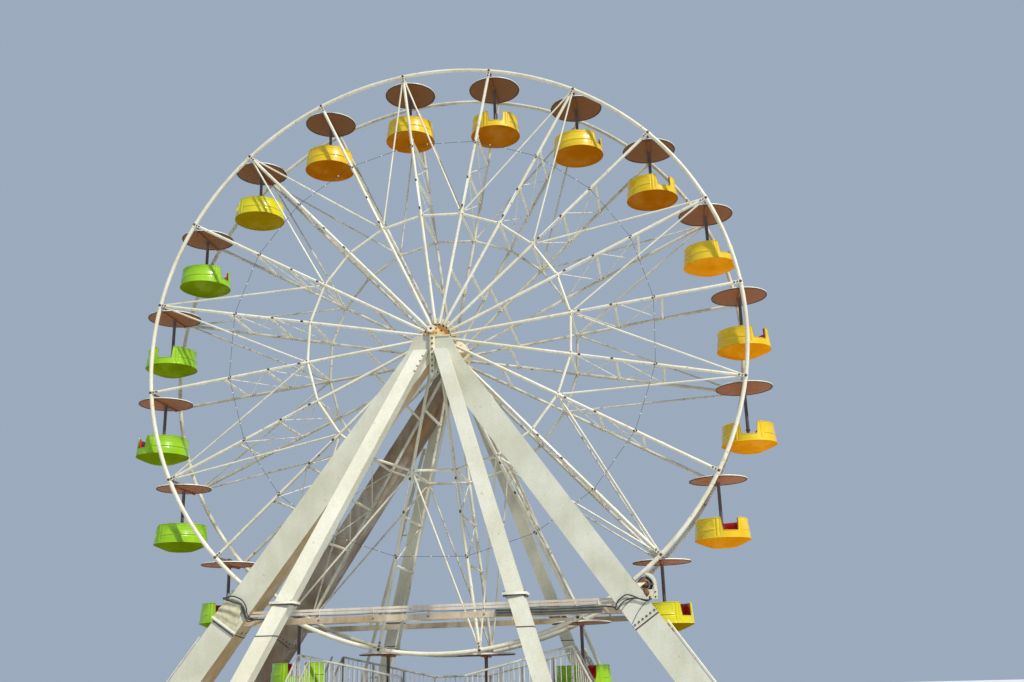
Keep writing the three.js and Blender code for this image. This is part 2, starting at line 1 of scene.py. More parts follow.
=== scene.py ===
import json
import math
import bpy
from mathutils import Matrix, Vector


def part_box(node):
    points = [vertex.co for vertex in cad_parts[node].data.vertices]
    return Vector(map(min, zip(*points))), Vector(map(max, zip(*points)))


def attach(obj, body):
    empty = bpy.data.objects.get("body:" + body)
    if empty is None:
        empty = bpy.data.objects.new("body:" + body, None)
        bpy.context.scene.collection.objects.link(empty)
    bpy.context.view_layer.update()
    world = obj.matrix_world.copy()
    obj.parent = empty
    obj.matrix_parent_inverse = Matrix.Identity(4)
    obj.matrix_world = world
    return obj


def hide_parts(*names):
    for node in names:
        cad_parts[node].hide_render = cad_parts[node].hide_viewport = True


bl_info = {
    "name": "Ferris Wheel Dressing",
    "version": (1, 0, 0),
    "blender": (4, 5, 0),
    "location": "3D View > Sidebar > Ferris Wheel",
    "description": "Dresses the packed frame of a fairground ferris wheel with its detail and its paint",
    "category": "Object",
}

import bmesh
import bpy
from bpy.props import BoolProperty, FloatProperty, FloatVectorProperty, IntProperty, PointerProperty
from bpy.types import Operator, Panel, PropertyGroup
from mathutils import Matrix, Vector

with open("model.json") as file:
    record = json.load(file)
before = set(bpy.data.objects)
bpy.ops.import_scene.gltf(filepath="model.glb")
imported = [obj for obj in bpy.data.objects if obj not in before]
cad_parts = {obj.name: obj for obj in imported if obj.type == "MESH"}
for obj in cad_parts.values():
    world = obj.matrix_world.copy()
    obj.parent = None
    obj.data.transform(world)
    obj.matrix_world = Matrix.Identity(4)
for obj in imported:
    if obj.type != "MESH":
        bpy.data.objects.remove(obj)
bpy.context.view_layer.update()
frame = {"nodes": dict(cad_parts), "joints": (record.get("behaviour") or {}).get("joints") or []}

JOINTS = {joint["name"]: joint for joint in frame["joints"]}
HUB = Vector(JOINTS["wheel_spin"]["pos_m"])
STATIONS = sum(name.endswith("_level") for name in JOINTS)
LABELS = [f"{number:02d}" for number in range(1, STATIONS + 1)]
AXLES = [Vector(JOINTS[f"gondola_{label}_level"]["pos_m"]) for label in LABELS]
ROLLER = Vector(JOINTS["roller_spin"]["pos_m"])
UP = Vector((0, 0, 1))
FRONT = Vector((0, -1, 0))
REAR = Vector((0, 1, 0))
RIGHT = Vector((1, 0, 0))

# Which tubs are lime; the rest are yellow
LIME_STATIONS = (1, 13, 14, 15, 16, 17, 18, 19, 20)
# Among the yellow ones, those of a greener tone, and those whose bowl is painted lighter as painted bounce
# light from the ground
LEMON_STATIONS = (2, 12)
AMBER_BOWLS = (8, 9, 10, 11)
# Distances from the axle of the spoke splices, of the plates at the spoke roots, and of the edge of the
# hub's own paint on its flanges
SPLICE_RADIUS = 6.9
ROOT_RADIUS = 0.47
HUB_PAINT_RADIUS = 0.43
# Distances of the axle's ends and of the leg heads' faces from the wheel's middle
AXLE_END = 1.92
HEAD_FACE = 1.822
# Height of the top of the base plates over the ground
BASE_TOP = 0.03
# Faces that meet at a greater angle than this show an edge
SHARP_EDGE = math.radians(50)
# How far the tubs hang turned about their posts, in degrees; the rest hang by the common turn
TUB_TURNS = {1: 79, 2: -58, 3: -72, 4: -77, 5: 10, 6: 70, 7: 32, 8: 40, 9: 37, 10: -2, 11: 16, 12: 54,
             18: -60, 19: -35, 20: 7}


# Sizes and colours that a user can change

def length(name, description, default):
    return FloatProperty(name=name, description=description, default=default, unit="LENGTH")


def colour(name, description, default):
    return FloatVectorProperty(name=name, description=description, default=default, subtype="COLOR",
                               min=0, max=1)


class WheelSizes(PropertyGroup):
    """Sizes of the turning wheel."""

    rim_radius: length("Rim Radius", "Distance from the hub to the gondola axles", 8.5)
    rim_tube: length("Rim Tube", "Diameter of the rim tube", 0.114)
    rim_plane: length("Rim Plane", "Distance of each rim from the wheel's middle", 0.967)
    hub_plane: length("Hub Plane", "Distance of the spoke roots from the wheel's middle", 1.12)
    spoke_tube: length("Spoke Tube", "Diameter of a spoke", 0.089)
    spoke_start: length("Spoke Start", "Distance of the spoke roots from the axle", 0.4)
    ring_radius: length("Inner Ring Radius", "Radius of the inner ring", 3.785)
    ring_tube: length("Inner Ring Tube", "Diameter of the inner ring's tube", 0.076)
    rod: length("Rod", "Diameter of the slanted rods", 0.05)
    strut: length("Strut", "Diameter of the cross struts", 0.076)
    brace: length("Brace", "Diameter of the cross braces", 0.028)
    flange_radius: length("Hub Flange Radius", "Radius of the hub flanges", 0.56)
    cable_radius: length("Lamp Cable Radius", "Radius of the ring that the lamp cable hangs on", 6.1)
    lamp_spacing: length("Lamp Spacing", "Distance between two bulbs", 0.42)


class GondolaSizes(PropertyGroup):
    """Sizes of one gondola."""

    canopy_radius: length("Canopy Radius", "Radius of the disc canopy", 0.778)
    belt_radius: length("Belt Radius", "Radius of the tub at its widest line", 0.745)
    rim_radius: length("Rim Radius", "Radius of the tub at the top of its backs", 0.69)
    tub_bottom: length("Tub Bottom", "Height of the tub's foot over the gondola axle", -1.875)
    belt: length("Belt Height", "Height of the widest line over the foot", 0.175)
    back: length("Back Height", "Height of the high backs over the foot", 0.71)
    sill: length("Sill Height", "Height of the entry sills over the foot", 0.37)
    entry: length("Entry Width", "Width of an entry", 0.44)
    wall: length("Wall", "Thickness of the moulded wall", 0.022)
    post: length("Post", "Diameter of the middle post", 0.09)
    common_turn: FloatProperty(name="Common Turn", description="Turn of a tub about its post",
                               default=math.radians(14), subtype="ANGLE")


class TowerSizes(PropertyGroup):
    """Sizes of what the tower carries."""

    bolt: length("Bolt", "Distance between the flats of a bolt head on the legs", 0.034)
    baluster_spacing: length("Baluster Spacing", "Distance between two balusters", 0.13)
    baluster: length("Baluster", "Diameter of a baluster", 0.018)
    rail_height: length("Rail Height", "Height of the hand rail over the deck", 1.1)


class Colours(PropertyGroup):
    """Colours of the finishes."""

    cream: colour("Cream", "Paint of the structure", (0.79, 0.74, 0.57))
    grime: colour("Grime", "Weathered paint", (0.36, 0.34, 0.24))
    rust: colour("Rust", "Rust spots", (0.17, 0.05, 0.014))
    ochre: colour("Ochre", "Faded paint of the hub", (0.8, 0.47, 0.14))
    yellow: colour("Yellow", "Yellow moulding", (0.74, 0.53, 0.006))
    lime: colour("Lime", "Lime moulding", (0.31, 0.57, 0.006))
    red: colour("Red", "Red seats", (0.6, 0.008, 0.01))
    terracotta: colour("Terracotta", "Underside of the canopies", (0.47, 0.17, 0.06))
    floor: colour("Floor", "Studio floor", (0.72, 0.73, 0.74))


class StageSettings(PropertyGroup):
    """The camera and the light."""

    eye: FloatVectorProperty(name="Eye", description="Place of the camera", subtype="TRANSLATION",
                             unit="LENGTH", default=(6.010, -28.507, 1.596))
    heading: FloatProperty(name="Heading", description="Turn of the view towards the right", subtype="ANGLE",
                           default=-0.1372)
    pitch: FloatProperty(name="Pitch", description="Upward tilt of the view", subtype="ANGLE", default=0.3011)
    roll: FloatProperty(name="Roll", description="Roll of the view", subtype="ANGLE", default=-0.0304)
    lens: FloatProperty(name="Lens", description="Focal length in millimetres", default=38.0)
    sun: FloatProperty(name="Sun", description="Strength of the soft key light", default=3.9)
    sky: FloatProperty(name="Sky", description="Strength of the light from all sides", default=0.75)
    has_floor: BoolProperty(name="Floor", description="Adds the pale floor", default=True)
    floor_radius: IntProperty(name="Floor Radius", description="Radius of the floor in metres", default=90)


GROUPS = {
    "wheel": WheelSizes,
    "gondola": GondolaSizes,
    "tower": TowerSizes,
    "colours": Colours,
    "stage": StageSettings,
}


# Shapes

def aim(place, direction, side=None):
    """A place whose Z axis points along a direction, and whose X axis lies as near as it can to side."""
    z = Vector(direction).normalized()
    guide = Vector(side) if side is not None else (UP if abs(z.z) < 0.9 else RIGHT)
    y = z.cross(guide).normalized()
    x = y.cross(z)
    turn = Matrix((x, y, z)).transposed().to_4x4()
    return Matrix.Translation(Vector(place)) @ turn


def upright_plane(x, y, z):
    """A place whose XY plane stands upright and faces the front."""
    return Matrix.Translation((x, y, z)) @ Matrix.Rotation(math.pi / 2, 4, "X")


def polar(radius, turn, height=0.0):
    return Vector((radius * math.cos(turn), radius * math.sin(turn), height))


def both_ways(half):
    """A profile that is the same to both sides of its middle, from the half above it."""
    return [(radius, -height) for radius, height in half] + half[::-1]


class Shape:
    """Collects closed forms for one mesh of one finish."""

    def __init__(self):
        self.points = []
        self.faces = []

    def add(self, points, faces):
        first = len(self.points)
        self.points += [Vector(p) for p in points]
        self.faces += [[first + i for i in face] for face in faces]

    def turned(self, profile, place=Matrix(), sides=32, closed=False):
        """A turned form about the Z axis of its place; the profile gives radius and height."""
        points, rows = [], []
        for radius, height in profile:
            if radius < 1e-6:
                rows.append([len(points)] * sides)
                points.append(place @ Vector((0, 0, height)))
                continue
            rows.append(list(range(len(points), len(points) + sides)))
            points += [place @ polar(radius, 2 * math.pi * i / sides, height) for i in range(sides)]
        faces = []
        pairs = list(zip(rows, rows[1:])) + ([(rows[-1], rows[0])] if closed else [])
        for low, high in pairs:
            for i in range(sides):
                j = (i + 1) % sides
                corners = [low[i], low[j], high[j], high[i]]
                face = [c for n, c in enumerate(corners) if c not in corners[:n]]
                if len(face) > 2:
                    faces.append(face)
        self.add(points, faces)

    def plate(self, outline, thickness, place=Matrix()):
        """A flat plate with its outline in the XY plane of its place, half its thickness to each side."""
        count = len(outline)
        points = [place @ Vector((x, y, z)) for z in (-thickness / 2, thickness / 2) for x, y in outline]
        faces = [list(range(count))[::-1], list(range(count, 2 * count))]
        faces += [[i, (i + 1) % count, count + (i + 1) % count, count + i] for i in range(count)]
        self.add(points, faces)

    def block(self, size, place=Matrix(), chamfer=0.0):
        """A block, whose upright edges can be chamfered."""
        x, y = size[0] / 2, size[1] / 2
        c = min(chamfer, x * 0.9, y * 0.9)
        if c <= 0:
            outline = [(-x, -y), (x, -y), (x, y), (-x, y)]
        else:
            outline = [(-x + c, -y), (x - c, -y), (x, -y + c), (x, y - c),
                       (x - c, y), (-x + c, y), (-x, y - c), (-x, -y + c)]
        self.plate(outline, size[2], place)

    def ring_plate(self, outer, inner, thickness, place=Matrix(), sides=32):
        """A flat ring."""
        half = thickness / 2
        self.turned(both_ways([(inner, half), (outer, half)]), place, sides, closed=True)

    def skin(self, rows, closed=False):
        """Joins rows of points, each a closed section; the first and last row meet or get flat ends."""
        count, width = len(rows), len(rows[0])
        faces = []
        for i in range(count if closed else count - 1):
            j = (i + 1) % count
            for k in range(width):
                m = (k + 1) % width
                faces.append([i * width + k, j * width + k, j * width + m, i * width + m])
        if not closed:
            faces += [list(range(width)), list(range((count - 1) * width, count * width))]
        self.add([point for row in rows for point in row], faces)

    def mesh(self):
        mesh = bpy.data.meshes.new("form")
        mesh.from_pydata([tuple(p) for p in self.points], [], self.faces)
        work = bmesh.new()
        work.from_mesh(mesh)
        bmesh.ops.recalc_face_normals(work, faces=work.faces)
        work.to_mesh(mesh)
        work.free()
        return mesh

    def finished(self, *finish_names):
        """The mesh with its finish, or with the finishes that its faces are sorted into later."""
        mesh = self.mesh()
        for name in finish_names:
            mesh.materials.append(finish(name))
        return mesh


class Lines:
    """Collects the middle lines of tubes and cables."""

    def __init__(self):
        self.points = []
        self.edges = []

    def add(self, *points, closed=False):
        first = len(self.points)
        self.points += [Vector(p) for p in points]
        count = len(points)
        self.edges += [(first + i, first + i + 1) for i in range(count - 1)]
        if closed:
            self.edges.append((first + count - 1, first))

    def mesh(self):
        mesh = bpy.data.meshes.new("lines")
        mesh.from_pydata([tuple(p) for p in self.points], self.edges, [])
        return mesh


class Spots:
    """Collects places with the direction that each faces."""

    def __init__(self):
        self.points = []
        self.facing = []

    def add(self, point, facing):
        self.points.append(Vector(point))
        self.facing.append(Vector(facing).normalized())

    def circle(self, place, radius, count, start=0.0):
        """Places on a circle about the Z axis of a place, facing along it."""
        for i in range(count):
            self.add(place @ polar(radius, start + 2 * math.pi * i / count), place.to_3x3() @ UP)

    def mesh(self):
        mesh = bpy.data.meshes.new("spots")
        mesh.from_pydata([tuple(p) for p in self.points], [], [])
        facing = mesh.attributes.new("facing", "FLOAT_VECTOR", "POINT")
        facing.data.foreach_set("vector", [c for v in self.facing for c in v])
        return mesh


def hang(share, drop):
    """How far a slack cable hangs down at a share of its length."""
    return drop * 4 * share * (1 - share)


def smooth(points, steps=6):
    """A soft line through the given places."""
    points = [Vector(p) for p in points]
    padded = [points[0], *points, points[-1]]
    line = []
    for a, b, c, d in zip(padded, padded[1:], padded[2:], padded[3:]):
        for i in range(steps):
            t = i / steps
            line.append((2 * b + (c - a) * t + (2 * a - 5 * b + 4 * c - d) * t * t
                         + (3 * b - a - 3 * c + d) * t ** 3) / 2)
    return line + [points[-1]]


# Geometry Nodes trees

def put(tree, socket, value):
    """Links another node's output to a socket, or sets a plain value on it."""
    if isinstance(value, bpy.types.NodeSocket):
        tree.links.new(value, socket)
    elif socket.type == "RGBA":
        socket.default_value = (*value[:3], 1)
    else:
        socket.default_value = value


class Tree:
    """A Geometry Nodes tree with named inputs."""

    def __init__(self, name, inputs):
        self.group = bpy.data.node_groups.new(name, "GeometryNodeTree")
        self.group.is_modifier = True
        face = self.group.interface
        face.new_socket("Geometry", in_out="INPUT", socket_type="NodeSocketGeometry")
        face.new_socket("Geometry", in_out="OUTPUT", socket_type="NodeSocketGeometry")
        for label, kind, value in inputs:
            socket = face.new_socket(label, in_out="INPUT", socket_type=f"NodeSocket{kind}")
            if value is not None:
                socket.default_value = value
        face.new_socket("Finish", in_out="INPUT", socket_type="NodeSocketMaterial")
        self.given = self.group.nodes.new("NodeGroupInput").outputs

    def node(self, kind, values=None, **settings):
        """Adds a node; values holds its inputs by name, each a socket or a plain value."""
        node = self.group.nodes.new(kind)
        for setting, value in settings.items():
            setattr(node, setting, value)
        for label, value in (values or {}).items():
            put(self.group, next(s for s in node.inputs if s.enabled and s.name == label), value)
        return next(s for s in node.outputs if s.enabled) if node.outputs else node

    def math(self, operation, *numbers):
        """A calculation with two numbers, each a socket or a plain value."""
        result = self.node("ShaderNodeMath", operation=operation)
        for socket, number in zip(result.node.inputs, numbers):
            put(self.group, socket, number)
        return result

    def close(self, geometry):
        """Ends the tree in real geometry with the finish that is asked for."""
        real = self.node("GeometryNodeRealizeInstances", {"Geometry": geometry})
        done = self.node("GeometryNodeSetMaterial", {"Geometry": real, "Material": self.given["Finish"]})
        output = self.group.nodes.new("NodeGroupOutput")
        self.group.links.new(done, output.inputs["Geometry"])
        return self.group


def tube_tree():
    """Turns lines into tubes with closed ends."""
    tree = Tree("Tubes Along Lines", [("Tube Radius", "Float", 0.05), ("Sides", "Int", 10)])
    curve = tree.node("GeometryNodeMeshToCurve", {"Mesh": tree.given["Geometry"]})
    section = tree.node("GeometryNodeCurvePrimitiveCircle", {
        "Resolution": tree.given["Sides"], "Radius": tree.given["Tube Radius"]})
    return tree.close(tree.node("GeometryNodeCurveToMesh", {
        "Curve": curve, "Profile Curve": section, "Fill Caps": True}))


def bolt_tree():
    """Puts a hexagon bolt head on a washer at each place, square to where the place faces."""
    tree = Tree("Bolt Heads", [
        ("Across Flats", "Float", 0.05), ("Head Height", "Float", 0.03), ("Seed", "Int", 4)])
    flats, height = tree.given["Across Flats"], tree.given["Head Height"]
    head = tree.node("GeometryNodeMeshCylinder", {
        "Vertices": 6, "Radius": tree.math("MULTIPLY", flats, 0.577), "Depth": height})
    washer = tree.node("GeometryNodeMeshCylinder", {
        "Vertices": 10, "Radius": tree.math("MULTIPLY", flats, 0.9),
        "Depth": tree.math("MULTIPLY", height, 0.3)})
    lift = tree.node("ShaderNodeCombineXYZ", {"Z": tree.math("MULTIPLY", height, 0.5)})
    raised = tree.node("GeometryNodeTransform", {"Geometry": head, "Translation": lift})
    join = tree.group.nodes.new("GeometryNodeJoinGeometry")
    for part in (raised, washer):
        tree.group.links.new(part, join.inputs[0])
    facing = tree.node("GeometryNodeInputNamedAttribute", {"Name": "facing"}, data_type="FLOAT_VECTOR")
    upright = tree.node("FunctionNodeAlignRotationToVector", {"Vector": facing}, axis="Z")
    spin = tree.node("FunctionNodeRandomValue", {"Max": 6.283, "Seed": tree.given["Seed"]}, data_type="FLOAT")
    about = tree.node("ShaderNodeCombineXYZ", {"Z": spin})
    turned = tree.node("FunctionNodeRotateRotation", {
        "Rotation": upright, "Rotate By": tree.node("FunctionNodeEulerToRotation", {"Euler": about})},
        rotation_space="LOCAL")
    return tree.close(tree.node("GeometryNodeInstanceOnPoints", {
        "Points": tree.given["Geometry"], "Instance": join.outputs[0], "Rotation": turned}))


def even_steps(tree):
    """Points at even steps along the lines that the tree is given."""
    curve = tree.node("GeometryNodeMeshToCurve", {"Mesh": tree.given["Geometry"]})
    return tree.node("GeometryNodeResampleCurve", {"Curve": curve, "Length": tree.given["Spacing"]},
                     mode="LENGTH")


def upright_tree():
    """Stands a round bar on a line at even steps."""
    tree = Tree("Uprights On A Line", [
        ("Spacing", "Float", 0.13), ("Height", "Float", 0.9), ("Bar Radius", "Float", 0.009)])
    bar = tree.node("GeometryNodeMeshCylinder", {
        "Vertices": 8, "Radius": tree.given["Bar Radius"], "Depth": tree.given["Height"]})
    half = tree.math("MULTIPLY", tree.given["Height"], 0.5)
    raised = tree.node("GeometryNodeTransform", {
        "Geometry": bar, "Translation": tree.node("ShaderNodeCombineXYZ", {"Z": half})})
    return tree.close(tree.node("GeometryNodeInstanceOnPoints", {
        "Points": even_steps(tree), "Instance": raised}))


def bulb_tree():
    """Hangs a bulb on a cable at even steps."""
    tree = Tree("Bulbs On A Cable", [("Spacing", "Float", 0.4), ("Bulb Radius", "Float", 0.03)])
    bulb = tree.node("GeometryNodeMeshUVSphere", {
        "Segments": 8, "Rings": 5, "Radius": tree.given["Bulb Radius"]})
    return tree.close(tree.node("GeometryNodeInstanceOnPoints", {
        "Points": even_steps(tree), "Instance": bulb}))


def round_tree():
    """Repeats a piece of the wheel about the wheel's axle."""
    tree = Tree("Copies About The Axle", [("Copies", "Int", 10), ("Axle", "Vector", tuple(HUB))])
    axle, copies = tree.given["Axle"], tree.given["Copies"]
    back = tree.node("ShaderNodeVectorMath", {"Vector": axle, "Scale": -1}, operation="SCALE")
    centred = tree.node("GeometryNodeTransform", {"Geometry": tree.given["Geometry"], "Translation": back})
    points = tree.node("GeometryNodePoints", {"Count": copies, "Position": axle})
    step = tree.math("DIVIDE", 2 * math.pi, copies)
    angle = tree.math("MULTIPLY", tree.node("GeometryNodeInputIndex"), step)
    about = tree.node("ShaderNodeCombineXYZ", {"Y": angle})
    turn = tree.node("FunctionNodeEulerToRotation", {"Euler": about})
    return tree.close(tree.node("GeometryNodeInstanceOnPoints", {
        "Points": points, "Instance": centred, "Rotation": turn}))


TREES = {}
TREE_MAKERS = {
    "tubes": tube_tree,
    "bolts": bolt_tree,
    "uprights": upright_tree,
    "bulbs": bulb_tree,
    "round": round_tree,
}


def grow(tree_name, mesh, material, values):
    """Runs a tree on a mesh and gives the result as a plain mesh."""
    if tree_name not in TREES:
        TREES[tree_name] = TREE_MAKERS[tree_name]()
    group = TREES[tree_name]
    seed = bpy.data.objects.new("seed", mesh)
    bpy.context.scene.collection.objects.link(seed)
    modifier = seed.modifiers.new(group.name, "NODES")
    modifier.node_group = group
    sockets = {
        item.name: item.identifier for item in group.interface.items_tree
        if item.item_type == "SOCKET" and item.in_out == "INPUT"
    }
    for label, value in {**values, "Finish": material}.items():
        modifier[sockets[label]] = value
    bpy.context.view_layer.update()
    evaluated = seed.evaluated_get(bpy.context.evaluated_depsgraph_get())
    result = bpy.data.meshes.new_from_object(evaluated)
    seed.modifiers.remove(modifier)
    bpy.data.objects.remove(seed)
    bpy.data.meshes.remove(mesh)
    if not result.polygons:
        raise RuntimeError(f"the tree {group.name} made nothing")
    return result


def tubes(lines, diameter, finish_name, sides=10):
    return grow("tubes", lines.mesh(), finish(finish_name), {"Tube Radius": diameter / 2, "Sides": sides})


def bolts(spots, size, finish_name="bolt", seed=4):
    """Bolt heads with the given size across the flats."""
    return grow("bolts", spots.mesh(), finish(finish_name), {
        "Across Flats": size, "Head Height": size * 0.6, "Seed": seed})


def uprights(start, end, spacing, height, diameter, finish_name):
    """A row of upright bars between two places."""
    line = Lines()
    line.add(start, end)
    return grow("uprights", line.mesh(), finish(finish_name), {
        "Spacing": spacing, "Height": height, "Bar Radius": diameter / 2})


def around(meshes, copies=STATIONS // 2):
    """Each mesh repeated about the wheel's axle, in its own finish."""
    # A tree leaves an empty slot before the finish, so the finish is the last one
    return [grow("round", mesh, mesh.materials[-1], {"Copies": copies}) for mesh in meshes]


def placed(mesh, matrix):
    """A copy of a mesh in another place."""
    copy = mesh.copy()
    copy.transform(matrix)
    return copy


def build(name, meshes, body, stands_for=()):
    """Joins meshes into one object that rides on a body."""
    finishes = []
    work = bmesh.new()
    for mesh in meshes:
        finishes += [material for material in mesh.materials if material not in finishes]
        slots = [finishes.index(material) for material in mesh.materials]
        first = len(work.faces)
        work.from_mesh(mesh)
        work.faces.ensure_lookup_table()
        for face in work.faces[first:]:
            face.material_index = slots[min(face.material_index, len(slots) - 1)]
    joined = bpy.data.meshes.new(name)
    work.to_mesh(joined)
    work.free()
    for finish in finishes:
        joined.materials.append(finish)
    joined.shade_smooth()
    joined.set_sharp_from_angle(angle=SHARP_EDGE)
    piece = bpy.data.objects.new(name, joined)
    bpy.context.scene.collection.objects.link(piece)
    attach(piece, body)
    if stands_for:
        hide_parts(*stands_for)
    return piece


# Finishes

class Finish:
    """Builds one node material on object coordinates."""

    def __init__(self, name):
        self.material = bpy.data.materials.new(name)
        self.material.use_nodes = True
        self.tree = self.material.node_tree
        self.tree.nodes.clear()
        self.shader = self.tree.nodes.new("ShaderNodeBsdfPrincipled")
        output = self.tree.nodes.new("ShaderNodeOutputMaterial")
        self.tree.links.new(self.shader.outputs["BSDF"], output.inputs["Surface"])
        self.place = self.tree.nodes.new("ShaderNodeTexCoord").outputs["Object"]

    def node(self, kind, inputs=(), **settings):
        """Adds a node; inputs are pairs of a socket's number or name, and a socket or value."""
        node = self.tree.nodes.new(kind)
        for setting, value in settings.items():
            setattr(node, setting, value)
        for key, value in inputs:
            put(self.tree, node.inputs[key], value)
        return node

    def noise(self, scale, detail=3.0, stretch=None, roughness=0.55):
        place = self.place
        if stretch:
            place = self.node("ShaderNodeMapping", [("Vector", place), ("Scale", stretch)]).outputs[0]
        return self.node("ShaderNodeTexNoise", [
            ("Vector", place), ("Scale", scale), ("Detail", detail), ("Roughness", roughness)]).outputs[0]

    def span(self, value, low, high, start=0.0, end=1.0):
        """Spreads the part of a value between low and high over another range."""
        node = self.node("ShaderNodeMapRange", [(0, value), (1, low), (2, high), (3, start), (4, end)])
        return node.outputs[0]

    def times(self, a, b):
        return self.node("ShaderNodeMath", [(0, a), (1, b)], operation="MULTIPLY").outputs[0]

    def plus(self, a, b):
        return self.node("ShaderNodeMath", [(0, a), (1, b)], operation="ADD", use_clamp=True).outputs[0]

    def blend(self, share, a, b):
        node = self.node("ShaderNodeMix", [(0, share), (6, a), (7, b)], data_type="RGBA")
        return node.outputs[2]

    def bump(self, height, distance, strength=1.0):
        return self.node("ShaderNodeBump", [
            ("Strength", strength), ("Distance", distance), ("Height", height)]).outputs[0]

    def done(self, **sockets):
        """Sets the shader's inputs; a name's underscores stand for spaces."""
        for name, value in sockets.items():
            put(self.tree, self.shader.inputs[name.replace("_", " ")], value)
        return self.material


def shade(colour, factor):
    return tuple(min(1.0, c * factor) for c in colour[:3])


def mixed(a, b, share):
    return tuple(x + (y - x) * share for x, y in zip(a[:3], b[:3]))


def aged_paint(name, paint, grime, rust, wear=0.5, rusty=0.3, gloss=0.42):
    """Old gloss paint on steel: broad fading, rain streaks, grime and rust spots."""
    f = Finish(name)
    broad = f.noise(0.7, 4)
    streaks = f.noise(1.0, 4, stretch=(5.5, 5.5, 0.45))
    fine = f.noise(26, 3)
    spots = f.noise(6.5, 6, roughness=0.68)
    faded = f.blend(f.span(broad, 0.38, 0.66), paint, mixed(paint, (0.9, 0.9, 0.84), 0.35))
    dirt = f.times(f.plus(f.span(streaks, 0.5, 0.72), f.span(broad, 0.62, 0.4, 0.0, 0.55)), wear)
    dirty = f.blend(dirt, faded, grime)
    grained = f.blend(f.times(f.span(fine, 0.42, 0.7), 0.16), dirty, shade(grime, 0.7))
    edge = 0.74 - 0.17 * rusty
    rusted = f.blend(f.span(spots, edge - 0.035, edge), grained, rust)
    halo = f.blend(f.times(f.span(spots, edge - 0.11, edge - 0.02), 0.45), rusted,
                   mixed(rust, paint, 0.35))
    height = f.plus(f.times(fine, 0.3), f.span(spots, edge - 0.04, edge, 0.5, 0.0))
    return f.done(
        Base_Color=halo,
        Roughness=f.span(f.plus(dirt, f.span(spots, edge - 0.05, edge)), 0.0, 1.0, gloss, 0.85),
        Normal=f.bump(height, 0.004, 0.5),
        Metallic=0.0,
        Specular_IOR_Level=0.45,
    )


def moulding(name, colour, deep, scuffed, gloss=0.38):
    """Gloss moulded shell: slight fading, soft ripple and scuffs."""
    f = Finish(name)
    broad = f.noise(1.6, 3)
    ripple = f.noise(3.2, 2)
    scuffs = f.noise(9, 5, stretch=(1, 1, 3.5), roughness=0.7)
    fine = f.noise(60, 2)
    toned = f.blend(f.span(broad, 0.35, 0.7), colour, deep)
    faded = f.blend(f.times(f.span(broad, 0.5, 0.3), 0.25), toned, mixed(colour, (1, 1, 0.6), 0.12))
    marked = f.blend(f.times(f.span(scuffs, 0.6, 0.75), 0.4), faded, scuffed)
    return f.done(
        Base_Color=marked,
        Roughness=f.span(scuffs, 0.4, 0.75, 0.6 - 0.8 * gloss, 0.6),
        Normal=f.bump(f.plus(f.times(ripple, 0.8), f.times(fine, 0.02)), 0.02, 0.35),
        Coat_Weight=gloss,
        Coat_Roughness=0.12,
        Specular_IOR_Level=0.9 * gloss,
    )


def steel(name, colour, patch, metal=0.7, rough=(0.35, 0.7), rust=None):
    """Bare or dark painted steel with patches and a fine grain."""
    f = Finish(name)
    broad = f.noise(3.0, 4)
    fine = f.noise(40, 3)
    toned = f.blend(f.span(broad, 0.35, 0.65), colour, patch)
    if rust:
        toned = f.blend(f.span(f.noise(9, 5, roughness=0.65), 0.56, 0.66), toned, rust)
    return f.done(
        Base_Color=toned,
        Metallic=metal,
        Roughness=f.span(fine, 0.3, 0.7, *rough),
        Normal=f.bump(fine, 0.002, 0.4),
    )


def plain_weathered(name, colour, dirt, rough=(0.5, 0.85), scale=4.0, bump=0.003):
    """Matt paint, rubber or plastic with dust and small marks."""
    f = Finish(name)
    broad = f.noise(scale, 5, roughness=0.62)
    fine = f.noise(scale * 9, 3)
    toned = f.blend(f.span(broad, 0.4, 0.68), colour, dirt)
    return f.done(
        Base_Color=f.blend(f.times(f.span(fine, 0.5, 0.75), 0.3), toned, shade(dirt, 1.25)),
        Roughness=f.span(fine, 0.25, 0.75, *rough),
        Normal=f.bump(fine, bump, 0.4),
    )


def underside(name, low, high, dirt):
    """Paint of the canopies' undersides with painted light by height: lighter on the lower ones as painted
    bounce light from the ground, darker and browner on the higher ones as painted shade.
    """
    f = Finish(name)
    height = f.node("ShaderNodeSeparateXYZ", [(0, f.place)]).outputs[2]
    # Painted light: the canopy's height sets its tone, lighter low down as painted bounce light, darker high
    # up as painted shade
    toned = f.blend(f.span(height, 4.0, 17.0), low, high)
    broad = f.noise(1.1, 5, roughness=0.62)
    fine = f.noise(10, 3)
    return f.done(
        Base_Color=f.blend(f.times(f.span(broad, 0.4, 0.68), 0.35), toned, dirt),
        Roughness=f.span(fine, 0.25, 0.75, 0.5, 0.75),
        Normal=f.bump(fine, 0.001, 0.4),
        Specular_IOR_Level=0.1,
    )


def chequer_plate(name, colour, worn):
    """Tread plate: raised lozenges in turned pairs, worn bright on top."""
    f = Finish(name)
    lozenges = []
    for turn, shift in ((0.785, 0.0), (-0.785, 0.03)):
        mapping = f.node("ShaderNodeMapping", [
            ("Vector", f.place), ("Location", (0.0, shift, 0)), ("Rotation", (0, 0, turn))])
        brick = f.node("ShaderNodeTexBrick", [
            ("Vector", mapping.outputs[0]), ("Scale", 9.0), ("Mortar Size", 0.16), ("Mortar Smooth", 0.6),
            ("Brick Width", 1.1), ("Row Height", 0.42)], offset=0.5, squash=1.0)
        lozenges.append(f.span(brick.outputs[1], 1.0, 0.4))
    raised = f.times(f.span(f.plus(lozenges[0], f.times(lozenges[1], 0.5)), 0.5, 1.0), 0.8)
    broad = f.noise(1.3, 5)
    toned = f.blend(f.span(broad, 0.38, 0.66), colour, shade(colour, 0.6))
    return f.done(
        Base_Color=f.blend(f.times(raised, 0.6), toned, worn),
        Metallic=0.35,
        Roughness=f.span(raised, 0.0, 1.0, 0.65, 0.35),
        Normal=f.bump(raised, 0.004, 0.8),
    )


